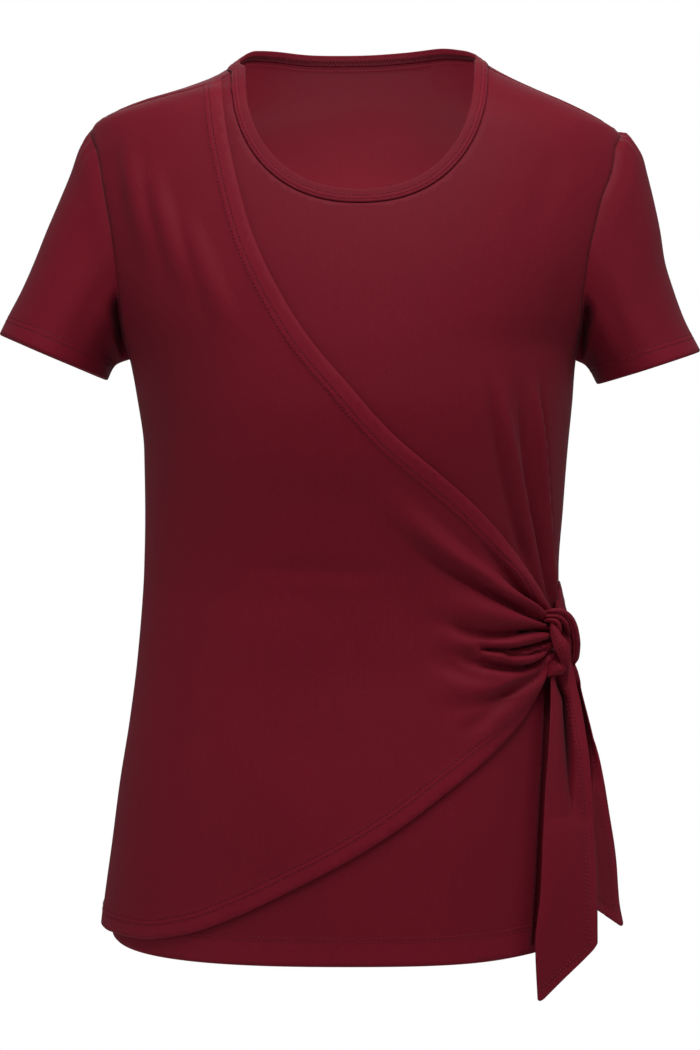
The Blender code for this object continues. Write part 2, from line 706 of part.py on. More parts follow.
def sleeve(side):
    """A set-in sleeve from the armhole to the cuff."""
    sizes = SLEEVES[side]
    front = seam_line(armhole(side, False), 0.002)
    back = seam_line(armhole(side, True), 0.002)[::-1]
    half = SLEEVE_ROUND // 2
    rows = []
    for seam in (front, back):
        stops = np.linspace(0, len(seam) - 1, half + 1)[:-1]
        rows.append(np.stack([np.interp(stops, range(len(seam)), seam[:, k]) for k in (0, 1)], axis=1))
    places = np.concatenate(rows)
    turn, height = places[:, 0], places[:, 1]
    angle = np.linspace(0, 2 * math.pi, SLEEVE_ROUND, endpoint=False)[:, None]
    # The seam lies on the panels' outer faces, and its own wall turns towards them at the underarm
    layers = (2 if side == "right" else 1) * LAYER + SEAM
    underarm = np.clip(-np.cos(angle[:, 0]), 0, 1)
    root = raised(turn, height, layers + (CLOTH + SEAM) * underarm)
    # Ellipses that hang between an outer and a lower line, with the seam's own form fading out of them
    outer = spaced([root[0, [0, 2]]] + sizes["outer"], count=SLEEVE_RINGS)
    under = np.linspace(root[half, [0, 2]], sizes["under"], SLEEVE_RINGS)
    near, far = root[:, 1].min(), root[:, 1].max()
    share = np.linspace(0, 1, SLEEVE_RINGS)
    deep = (far - near) / 2 + (sizes["half_depth"] - (far - near) / 2) * share
    middle = (far + near) / 2 + (CUFF_MIDDLE - (far + near) / 2) * share
    rings = []
    for i, t in enumerate(share):
        centre, out = (outer[i] + under[i]) / 2, (outer[i] - under[i]) / 2
        ring = np.empty((SLEEVE_ROUND, 3))
        ring[:, [0, 2]] = centre + np.cos(angle) * out
        ring[:, 1] = middle[i] - np.sin(angle[:, 0]) * deep[i]
        ring[:, 2] -= np.sin(angle[:, 0]) * sizes["tilt"] * t
        if i == 0:
            own_form = root - ring
        rings.append(ring + own_form * (1 - t) ** 2 * (1 + 2 * t))
    points = np.concatenate(rings)
    faces = grid_faces(SLEEVE_RINGS, SLEEVE_ROUND, True)
    normals = point_normals(points, faces)
    if (normals[:SLEEVE_ROUND] * (root - root.mean(axis=0))).sum() < 0:
        faces = [tuple(reversed(face)) for face in faces]
        normals = -normals
    wall("sleeve_" + side, points, points + normals * CLOTH, faces)


def neckband():
    """The band round the neck: a folded strip on the line of the figure, inside the neck seam."""
    loop = joined(seam_line(neck_front(), BAND_STEP)[::-1], seam_line(neck_back(), BAND_STEP))
    # The right shoulder's two names for one turn are made one before directions are taken
    turn = np.where(loop[:, 0] < 0, loop[:, 0] + 4, loop[:, 0])
    height = loop[:, 1]
    seam = figure(turn, height)
    normal = outward(turn, height)
    run = np.roll(seam, -1, axis=0) - np.roll(seam, 1, axis=0)
    inward = np.cross(normal, run / np.linalg.norm(run, axis=1, keepdims=True))
    middle = np.array((0.0, 0.0, 0.02))
    facing = ((middle - seam) * inward).sum(axis=1, keepdims=True)
    inward *= np.sign(facing)
    section = [(0.0, 0.15), (0.0, 0.85), (0.25, 1.0), (0.85, 1.0), (1.0, 0.8)]
    section += [(1.0, 0.2), (0.85, 0.0), (0.25, 0.0)]
    rings = []
    for across, up in section:
        rings.append(seam + inward * (SEAM + across * BAND_WIDTH) + normal * (up * DOUBLE))
    points = np.stack(rings, axis=1).reshape(-1, 3)
    mesh = bmesh.new()
    verts = [mesh.verts.new(p) for p in points]
    rows, columns = len(seam), len(section)
    for r in range(rows):
        for c in range(columns):
            a, b = r * columns + c, r * columns + (c + 1) % columns
            d, e = ((r + 1) % rows) * columns + c, ((r + 1) % rows) * columns + (c + 1) % columns
            mesh.faces.new([verts[i] for i in (a, b, e)])
            mesh.faces.new([verts[i] for i in (a, e, d)])
    finish("neckband", mesh)


def tie_side():
    """The tie that leaves the left side seam and runs forward to the knot."""
    along = np.linspace(0, 1, 7)
    stops = np.linspace(0, 1, len(TIE))
    read = {name: through(stops, TIE[name])(along) for name in TIE.dtype.names}
    rows = []
    across = np.linspace(0, 1, 6)
    for i in range(len(along)):
        height = read["bottom"][i] + (read["top"][i] - read["bottom"][i]) * across
        ripple = 0.0012 * np.sin(across * 3 * math.pi) ** 2 * along[i]
        rows.append(raised(np.full(len(across), read["turn"][i]), height, read["off"][i] + ripple))
    points = np.concatenate(rows)
    faces = grid_faces(len(along), len(across), False)
    normals = point_normals(points, faces)
    wall("tie_side", points, points + normals * CLOTH, faces)


def tail(name):
    """A hanging tail: rows from the knot down, each folded once along its length."""
    rows = TAILS[name]
    across = np.linspace(0, 1, TAIL_ACROSS + 1)
    points = []
    for row in rows:
        start = np.array([row["x0"], row["y0"], row["z0"]])
        end = np.array([row["x1"], row["y1"], row["z1"]])
        into = np.array([row["y1"] - row["y0"], row["x0"] - row["x1"], 0.0])
        into /= -np.linalg.norm(into)
        at = row["fold_at"]
        side = np.where(across < at, across / at, (1 - across) / (1 - at))
        dent = row["fold"] * (side - np.sin(np.clip(side, 0, 1) * math.pi) * 0.6)
        points.append(start + (end - start) * across[:, None] + into * dent[:, None])
    points = np.concatenate(points)
    faces = [tuple(reversed(face)) for face in grid_faces(len(rows), len(across), False)]
    normals = point_normals(points, faces)
    wall(name, points, points + normals * CLOTH, faces)


def strap(half_width, half_thick, route):
    """A closed tube along a route, flattened towards the knot's middle, with rounded ends."""
    line = spaced(route, 0.003)
    run = np.gradient(line, axis=0)
    run /= np.linalg.norm(run, axis=1, keepdims=True)
    out = line - np.array(KNOT_CORE[0])
    out -= run * (out * run).sum(axis=1, keepdims=True)
    out /= np.linalg.norm(out, axis=1, keepdims=True)
    side = np.cross(run, out)
    mesh = bmesh.new()
    rings = []
    for i, place in enumerate(line):
        end = min(i, len(line) - 1 - i) / 2
        size = math.sqrt(min(1.0, 0.45 + 0.55 * end))
        ring = []
        for k in range(STRAP_SIDES):
            angle = 2 * math.pi * k / STRAP_SIDES
            offset = out[i] * math.cos(angle) * half_thick + side[i] * math.sin(angle) * half_width
            ring.append(mesh.verts.new(place + offset * size))
        rings.append(ring)
    for one, two in zip(rings, rings[1:]):
        for k in range(STRAP_SIDES):
            after = (k + 1) % STRAP_SIDES
            mesh.faces.new([one[k], one[after], two[after], two[k]])
    mesh.faces.new(rings[0][::-1])
    mesh.faces.new(rings[-1])
    bmesh.ops.triangulate(mesh, faces=mesh.faces)
    bmesh.ops.recalc_face_normals(mesh, faces=mesh.faces)
    return mesh


def helper(name, mesh):
    """An object that another one is joined with, left out of the build."""
    data = bpy.data.meshes.new(name)
    mesh.to_mesh(data)
    mesh.free()
    made = bpy.data.objects.new(name, data)
    made.hide_render = True
    made.display_type = "WIRE"
    bpy.context.scene.collection.objects.link(made)
    return made


def knot():
    """The knot: two straps that wrap a rounded core, joined into one body."""
    mesh = bmesh.new()
    bmesh.ops.create_icosphere(mesh, subdivisions=2, radius=1.0)
    centre, radii = KNOT_CORE
    for vert in mesh.verts:
        vert.co = Vector(centre) + Vector(c * r for c, r in zip(vert.co, radii))
    body = finish("knot", mesh)
    for number, sizes in enumerate(KNOT_STRAPS):
        joint = body.modifiers.new(f"strap_{number}", "BOOLEAN")
        joint.operation = "UNION"
        # The exact solver loses the core here
        joint.solver = "MANIFOLD"
        joint.object = helper(f"strap_{number}", strap(**sizes))
    return body


def main():
    """Builds every piece of the top."""
    for old in list(bpy.data.objects):
        bpy.data.objects.remove(old)
    front_and_overlay()
    back_panel()
    for side in SLEEVES:
        sleeve(side)
    neckband()
    tie_side()
    knot()
    for name in TAILS:
        tail(name)


main()
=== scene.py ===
"""Dresses the wrap top: its cloth, folds, sewing, knot and tails, and the studio that it is seen in.

Metres, +Z up, the front faces -Y and +X is the wearer's left. A point of the cloth is given by its turn
(0 centre front, 1 the wearer's left side, 2 centre back, 3 or -1 the right side) and its height. Tables are
in thousandths: millimetres, and thousandths of a turn or a share.
"""

import logging
import math
from collections.abc import Callable, Iterable, Sequence
from dataclasses import dataclass, field
from enum import Enum
from functools import cached_property

import bpy
import numpy as np
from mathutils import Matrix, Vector, geometry


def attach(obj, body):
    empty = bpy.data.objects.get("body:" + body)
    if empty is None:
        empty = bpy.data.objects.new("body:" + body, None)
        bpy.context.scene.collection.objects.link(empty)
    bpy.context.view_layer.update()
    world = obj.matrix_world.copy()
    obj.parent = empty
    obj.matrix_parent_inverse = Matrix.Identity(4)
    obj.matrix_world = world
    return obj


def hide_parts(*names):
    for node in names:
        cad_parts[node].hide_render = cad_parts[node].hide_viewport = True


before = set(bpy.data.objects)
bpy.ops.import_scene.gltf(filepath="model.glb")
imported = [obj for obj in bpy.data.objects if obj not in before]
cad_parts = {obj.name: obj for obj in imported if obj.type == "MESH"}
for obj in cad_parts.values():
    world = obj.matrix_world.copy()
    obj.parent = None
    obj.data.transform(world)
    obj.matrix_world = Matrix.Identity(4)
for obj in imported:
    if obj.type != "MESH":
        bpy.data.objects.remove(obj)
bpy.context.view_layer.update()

LOG = logging.getLogger("wrap_top")
Array = np.ndarray
Table = tuple[tuple[float, ...], ...]
Place3 = tuple[float, float, float]

CLOTH = 0.0011  # wall of one layer of jersey
SEAM = 0.0003  # clearance between two layers
GAP = 0.00015  # how far a piece stops short of its seam
LAYER = CLOTH + SEAM  # how far one layer lies above the next
GIRTH = 0.24  # length of a quarter turn on the flat pattern
FAR = 0.05  # a distance from an edge that counts as away from it
PAST_ROWS = 0.002  # how far turned-up cloth reaches past its upper row of stitches
TURNED_LAYER = 0.9  # how much of a layer the turned-up cloth adds
STITCH_ROOM = 0.0015  # how far inside a piece's outline its stitches stay
CHUNK = 4000  # how many places are worked on at a time
FULL_TURN = 2 * math.pi


class Side(Enum):
    """A side of the wearer."""

    RIGHT = -1.0
    LEFT = 1.0


class Held(Enum):
    """How a sheet of cloth is held."""

    DRAPED = "draped"
    HUNG = "hung"
    GATHERED = "gathered"
    FOLDED = "folded"


def table(text: str) -> Table:
    """Rows of numbers from a text in thousandths, with a semicolon between rows."""
    return tuple(tuple(float(number) / 1000 for number in row.split()) for row in text.split(";"))


def through(known: Array, values: Array) -> Callable[[Array], Array]:
    """A smooth curve through rows of values that never overshoots them.

    Args:
        known: where the rows are known.
        values: the rows.

    Returns:
        A function that gives the row anywhere between.
    """
    order = np.argsort(known)
    known, values = np.asarray(known, float)[order], np.asarray(values, float)[order]
    gap = np.diff(known)[:, None]
    rise = np.diff(values, axis=0) / gap
    before, after = 2 * gap[1:] + gap[:-1], gap[1:] + 2 * gap[:-1]
    with np.errstate(divide="ignore", invalid="ignore"):
        between = (before + after) / (before / rise[:-1] + after / rise[1:])
    slope = np.concatenate([rise[:1], np.where(rise[:-1] * rise[1:] > 0, between, 0.0), rise[-1:]])

    def at(where: Array) -> Array:
        """The row at each place."""
        where = np.clip(np.asarray(where, float), known[0], known[-1])
        i = np.clip(np.searchsorted(known, where) - 1, 0, len(gap) - 1)
        t = (where - known[i])[..., None] / gap[i]
        ends = (1 + 2 * t) * (1 - t) ** 2 * values[i] + t * t * (3 - 2 * t) * values[i + 1]
        return ends + gap[i] * t * (1 - t) * ((1 - t) * slope[i] - t * slope[i + 1])

    return at


def unit(vectors: Array) -> Array:
    """Vectors made one long."""
    return vectors / np.maximum(np.linalg.norm(vectors, axis=-1, keepdims=True), 1e-12)


def smooth(value: Array, low: float, high: float) -> Array:
    """0 below low, 1 above high and a soft step between."""
    t = np.clip((value - low) / (high - low), 0, 1)
    return t * t * (3 - 2 * t)


def bump_at(value: Array, centre: float, width: float) -> Array:
    """1 at a centre, falling softly to 0 on both sides."""
    return np.exp(-(((value - centre) / width) ** 2))


def lengths(line: Array) -> Array:
    """How far along a line each of its points lies."""
    return np.concatenate([[0], np.cumsum(np.linalg.norm(np.diff(line, axis=0), axis=1))])


def sampled(stops: Array, along: Array, line: Array) -> Array:
    """A line's rows at stops, given how far along it they are known."""
    return np.stack([np.interp(stops, along, column) for column in line.T], axis=1)


def spaced(points: Iterable, step: float = 0.0, count: int = 0) -> Array:
    """Evenly spaced points on a smooth curve.

    Args:
        points: points that the curve goes through.
        step: about how far apart the new points are.
        count: or how many steps there are.

    Returns:
        One row for each new point.
    """
    points = np.asarray(points, float)
    chord = lengths(points)
    line = through(chord, points)(np.linspace(0, chord[-1], 40 * len(points)))
    along = lengths(line)
    return sampled(np.linspace(0, along[-1], (count or max(1, round(along[-1] / step))) + 1), along, line)


def in_chunks(work: Callable[[Array], Array], places: Array) -> Array:
    """What some work gives for rows of places, done on a few at a time."""
    return np.concatenate([work(places[first : first + CHUNK]) for first in range(0, len(places), CHUNK)])


def distance_to(places: Array, line: Array) -> tuple[Array, Array]:
    """How far places lie from a line.

    Args:
        places: points in the plane or in space.
        line: points along the line.

    Returns:
        The distance to it, and the share of its length at the nearest point.
    """
    start, run = line[:-1], np.diff(line, axis=0)
    size = np.maximum((run**2).sum(axis=1), 1e-14)

    def measured(some: Array) -> Array:
        """Distance and share for some of the places."""
        offset = some[:, None] - start[None]
        t = np.clip((offset * run).sum(axis=2) / size, 0, 1)
        away = np.linalg.norm(offset - t[..., None] * run, axis=2)
        index, row = away.argmin(axis=1), np.arange(len(some))
        return np.stack([away[row, index], (index + t[row, index]) / len(run)], axis=1)

    distance, share = in_chunks(measured, places).T
    return distance, share


@dataclass(frozen=True)
class Figure:
    """The hollow form that the cloth holds, in horizontal sections."""

    # Height, right, left, front, back, roundness
    sections: Table = table("""
        42 63 63 20 44 2200; 34.5 71 71.5 28 50 2200; 26.5 80 81 36 56 2200; 18.6 89.2 91.5 45 62 2200;
        10 102.8 106.3 55 69 2200; 0 128.6 127.5 65 76 2200; -10 161.2 150.8 73 81 2250;
        -23 186.8 175.5 81 86 2300; -28.6 190.8 183.5 84 88 2300; -50 200 195 92 94 2350;
        -75 203 198 100 99 2400; -100 201 195 107 102 2400; -130 193 185.5 114 103.5 2400;
        -160 179.5 170.5 119 103 2400; -189 163 154 122.5 101.5 2400; -223 154.6 151 124 98.5 2400;
        -255.5 150.5 147.8 121 94.5 2400; -298 150 144.5 112 88.5 2400; -341 151 141.5 104.5 84.5 2350;
        -362.5 152.3 141.5 102.5 84 2300; -405 156 145.5 103 88 2300; -448 161.4 153 107 96 2300;
        -491 168.2 158.5 111.5 104.5 2300; -534 173.7 163 115 111 2300; -577 179.5 166.5 117 115 2300;
        -620 184 168.5 118 116.5 2300""")

    @cached_property
    def curve(self) -> Callable[[Array], Array]:
        """Right, left, front, back and roundness as one curve over the height."""
        rows = np.array(self.sections)
        return through(rows[:, 0], rows[:, 1:])

    def at(self, turn: Array, height: Array) -> Array:
        """Points on the figure."""
        right, left, front, back, roundness = np.moveaxis(self.curve(height), -1, 0)
        across, along = np.sin(turn * math.pi / 2), np.cos(turn * math.pi / 2)
        bulge = np.sqrt(np.maximum(1 - np.abs(across) ** roundness, 0))
        depth = np.where(along >= 0, -front, back)
        return np.stack([(left - right) / 2 + (left + right) / 2 * across, depth * bulge, height], axis=-1)

    def slopes(self, turn: Array, height: Array, small: float = 0.002) -> tuple[Array, Array]:
        """How a point moves with its turn and with its height."""
        round_it = self.at(turn + small, height) - self.at(turn - small, height)
        up_it = self.at(turn, height + small) - self.at(turn, height - small)
        return round_it / (2 * small), up_it / (2 * small)

    def outward(self, turn: Array, height: Array) -> Array:
        """The figure's outward directions."""
        return unit(np.cross(*self.slopes(turn, height)))

    def raised(self, turn: Array, height: Array, off: Array) -> Array:
        """Points that lie off the figure by a distance."""
        off = np.broadcast_to(np.asarray(off, float), np.shape(turn))
        return self.at(turn, height) + self.outward(turn, height) * off[..., None]

    def seen(self, places: Array) -> Array:
        """Distance from the centre and height of rows of turn and height."""
        return self.at(places[:, 0], places[:, 1])[:, [0, 2]]

    def pattern(self, x: float, height: float, back: bool = False) -> tuple[float, float]:
        """Turn and height of a point given by its distance from the centre and its height."""
        right, left = self.curve(height)[:2]
        across = np.clip((x - (left - right) / 2) / ((left + right) / 2), -1, 1)
        turn = float(np.arcsin(across)) * 2 / math.pi
        return (2 - turn if back else turn, height)

    def drawn(self, places: Iterable, step: float = 0.004) -> list[tuple[float, float]]:
        """Turn and height along a smooth line through distances from the centre and heights."""
        return [self.pattern(x, height) for x, height in spaced(places, step)]

    def shifted(self, line: Array, by: float | Array) -> Array:
        """A line of turn and height moved to the left of its run by a true distance.

        Args:
            line: rows of turn and height.
            by: how far, everywhere or at each row.

        Returns:
            Rows of turn and height.
        """
        slopes = self.slopes(line[:, 0], line[:, 1])
        run = unit(np.gradient(self.at(line[:, 0], line[:, 1]), axis=0))
        left_of = np.cross(unit(np.cross(*slopes)), run) * np.reshape(by, (-1, 1))
        return line + [np.linalg.lstsq(j, d, rcond=None)[0] for j, d in zip(np.stack(slopes, axis=2), left_of)]


FIGURE = Figure()


def flat(points: Array) -> Array:
    """Turn and height as places on the flat pattern, in metres."""
    return np.asarray(points, float) * (GIRTH, 1.0)


def seam_line(points: Iterable, step: float = 0.004) -> Array:
    """A smooth seam through points of turn and height."""
    return spaced(flat(points), step) / (GIRTH, 1.0)


def joined(*pieces: Array) -> Array:
    """One closed outline from pieces that follow each other, without the points they share."""
    return np.concatenate([piece[:-1] for piece in pieces])


def inset(outline: Array, by: float) -> Array:
    """A closed outline drawn in by a distance, on the flat pattern."""
    line = flat(outline)
    run = unit(np.roll(line, -1, axis=0) - line)
    inward = np.stack([-run[:, 1], run[:, 0]], axis=1)
    corner = inward + np.roll(inward, 1, axis=0)
    corner /= np.maximum(np.linalg.norm(corner, axis=1, keepdims=True), 0.5)
    return (line + corner * by) / (GIRTH, 1.0)


def inside(points: Array, outline: Array) -> Array:
    """Which points lie inside a closed outline."""
    x0, y0 = outline.T
    x1, y1 = np.roll(outline, -1, axis=0).T

    def crossed(some: Array) -> Array:
        """Whether a ray from each point crosses the outline an odd number of times."""
        x, y = some[:, 0:1], some[:, 1:2]
        with np.errstate(divide="ignore", invalid="ignore"):
            left_of = x < (x1 - x0) * (y - y0) / (y1 - y0) + x0
        return (((y0 > y) != (y1 > y)) & left_of).sum(axis=1) % 2 == 1

    return in_chunks(crossed, points)


def lattice(outline: Array, step: float) -> Array:
    """Staggered rows of points inside an outline."""
    low, high = outline.min(axis=0), outline.max(axis=0)
    rows = []
    for j, y in enumerate(np.arange(low[1], high[1], step * math.sqrt(3) / 2)):
        xs = np.arange(low[0] + (j % 2) * step / 2, high[0], step)
        rows.append(np.stack([xs, np.full(len(xs), y)], axis=1))
    rows = np.concatenate(rows)
    return rows[inside(rows, outline)]


@dataclass(frozen=True)
class Fine:
    """A part of a panel that is meshed more finely."""

    centre: tuple[float, float]  # distance from the centre and height
    reach: float
    step: float


def filled(outline: Array, step: float, fine: Fine | None = None) -> tuple[Array, Array]:
    """Triangles that fill an outline on the flat pattern.

    Args:
        outline: rows of turn and height, counter-clockwise.
        step: spacing of the points.
        fine: a part of it with a spacing of its own.

    Returns:
        Rows of turn and height, and rows of three point numbers.
    """
    outline = flat(inset(outline, GAP))
    rows = lattice(outline, step)
    spacing = np.full(len(rows), step)
    if fine:
        centre = flat(FIGURE.pattern(*fine.centre))
        rows = rows[np.linalg.norm(rows - centre, axis=1) > fine.reach]
        extra = lattice(outline, fine.step)
        extra = extra[np.linalg.norm(extra - centre, axis=1) < fine.reach - step * 0.4]
        spacing = np.repeat((step, fine.step), (len(rows), len(extra)))
        rows = np.concatenate([rows, extra])
    away, _ = distance_to(rows, np.concatenate([outline, outline[:1]]))
    points = [Vector(p) for p in np.concatenate([outline, rows[away > 0.5 * spacing]])]
    edges = [(i, (i + 1) % len(outline)) for i in range(len(outline))]
    vertices, _, faces, *_ = geometry.delaunay_2d_cdt(points, edges, [], 1, 1e-7)
    places, faces = (np.array([tuple(row) for row in rows]) for rows in (vertices, faces))
    ab, ac = (places[faces[:, k]] - places[faces[:, 0]] for k in (1, 2))
    turns_right = ab[:, 0] * ac[:, 1] - ab[:, 1] * ac[:, 0] <= 0
    faces[turns_right] = faces[turns_right][:, ::-1]
    return places / (GIRTH, 1.0), faces


def grid_faces(rows: int, columns: int, round_it: bool = False, end_to_end: bool = False) -> Array:
    """Triangles of a grid of points, row after row.

    Args:
        rows: how many rows there are.
        columns: how many points a row has.
        round_it: whether each row is closed.
        end_to_end: whether the last row meets the first.

    Returns:
        Rows of three point numbers.
    """
    r, c = np.meshgrid(np.arange(rows - (not end_to_end)), np.arange(columns - (not round_it)), indexing="ij")
    r, c = r.ravel(), c.ravel()
    r_next, c_next = (r + 1) % rows, (c + 1) % columns
    a, b, d, e = r * columns + c, r * columns + c_next, r_next * columns + c_next, r_next * columns + c
    return np.concatenate([np.stack([a, b, d], 1), np.stack([a, d, e], 1)])


def point_normals(points: Array, faces: Array) -> Array:
    """Outward directions of the points of a sheet, from its faces."""
    a, b, c = (points[faces[:, k]] for k in range(3))
    each = np.cross(b - a, c - a)
    normals = np.zeros_like(points)
    for k in range(3):
        np.add.at(normals, faces[:, k], each)
    return unit(normals)


def facing(points: Array, faces: Array, outward: Array) -> tuple[Array, Array]:
    """Faces and the points' directions, both turned to agree with outward directions."""
    normals = point_normals(points, faces)
    if (normals * outward).sum() < 0:
        return faces[:, ::-1], -normals
    return faces, normals


def mesh_object(name: str, points: Array, faces: Array, uv: Array, marks: dict[str, Array]) -> bpy.types.Object:
    """An object with smooth faces, a flat pattern as its UV map and marks on its points.

    Args:
        name: the piece's name.
        points: one row for each point.
        faces: rows of three point numbers.
        uv: each point's place on the flat pattern, in metres.
        marks: named values for each point.

    Returns:
        The object, in the scene.
    """
    data = bpy.data.meshes.new(name)
    data.from_pydata(points.tolist(), [], faces.tolist())
    data.shade_smooth()
    data.uv_layers.new(name="pattern").data.foreach_set("uv", uv[faces.ravel()].astype(np.float32).ravel())
    for mark, values in marks.items():
        data.attributes.new(mark, "FLOAT", "POINT").data.foreach_set("value", np.asarray(values, np.float32))
    made = bpy.data.objects.new(name, data)
    bpy.context.scene.collection.objects.link(made)
    return made


def cloth(
    name: str, under: Array, over: Array, faces: Array, uv: Array, marks: dict[str, Array]
) -> bpy.types.Object:
    """A closed wall of cloth with rounded rims.

    Args:
        name: the piece's name.
        under: the inner face's points.
        over: the outer face's points.
        faces: rows of three point numbers, counter-clockwise from outside.
        uv: each point's place on the flat pattern, in metres.
        marks: named values for each point.

    Returns:
        The object.
    """
    count = len(under)
    runs = np.concatenate([faces[:, [0, 1]], faces[:, [1, 2]], faces[:, [2, 0]]])
    rim = runs[~np.isin(runs[:, 0] * count + runs[:, 1], runs[:, 1] * count + runs[:, 0])]
    normals = unit(over - under)
    side = np.zeros_like(under)
    run = unit(over[rim[:, 1]] - over[rim[:, 0]])
    for k in (0, 1):
        np.add.at(side, rim[:, k], np.cross(run, normals[rim[:, k]]))
    edge = np.unique(rim)
    number = np.zeros(count, int)
    number[edge] = np.arange(len(edge)) + 2 * count
    thick = np.linalg.norm(over - under, axis=1, keepdims=True)
    middle = ((over + under) / 2 + unit(side) * thick * 0.4)[edge]
    a, b = rim.T
    m, n = number[a], number[b]
    walls = [(b, a, m), (b, m, n), (n, m, a + count), (n, a + count, b + count)]
    every = np.concatenate([faces, faces[:, ::-1] + count] + [np.stack(w, axis=1) for w in walls])
    order = np.concatenate([np.arange(count), np.arange(count), edge])
    marks = {mark: np.asarray(values)[order] for mark, values in marks.items()}
    marks["inner"] = np.repeat((0.0, 1.0, 0.5), (count, count, len(edge)))
    return mesh_object(name, np.concatenate([over, under, middle]), every, uv[order], marks)


@dataclass(frozen=True)
class Crease:
    """A soft ridge or trough that the cloth holds along a route."""

    tall: float  # below 0 is a trough
    near: float  # half width at its start
    far: float  # half width at its end
    rise: float  # the share of its length over which it comes up
    fade: float  # the share at which it begins to sink
    route: Table  # distance from the centre and height

    def lift(self, places: Array) -> Array:
        """How far it lifts the cloth at places given by distance from the centre and height."""
        line = spaced(self.route, 0.003)
        widest = max(self.near, self.far)
        close = np.all((places > line.min(axis=0) - widest) & (places < line.max(axis=0) + widest), axis=1)
        lift = np.zeros(len(places))
        if close.any():
            away, along = distance_to(places[close], line)
            half = self.near + (self.far - self.near) * along
            shape = 0.5 + 0.5 * np.cos(math.pi * np.minimum(away / half, 1))
            ends = 1 - smooth(along, self.fade, 1.0)
            if self.rise:
                ends = ends * smooth(along, 0.0, self.rise)
            lift[close] = self.tall * shape * ends
        return lift


def creases(text: str) -> tuple[Crease, ...]:
    """Creases from rows of thousandths: height, half widths, rise and fade, then the route."""
    return tuple(Crease(*row[:5], tuple(zip(row[5::2], row[6::2]))) for row in table(text))


def relief(folds: Sequence[Crease], places: Array) -> Array:
    """What creases do together: the highest ridge and the deepest trough at each place."""
    ridges, troughs = np.zeros(len(places)), np.zeros(len(places))
    for crease in folds:
        lift = crease.lift(places)
        ridges, troughs = np.maximum(ridges, lift), np.minimum(troughs, lift)
    return ridges + troughs


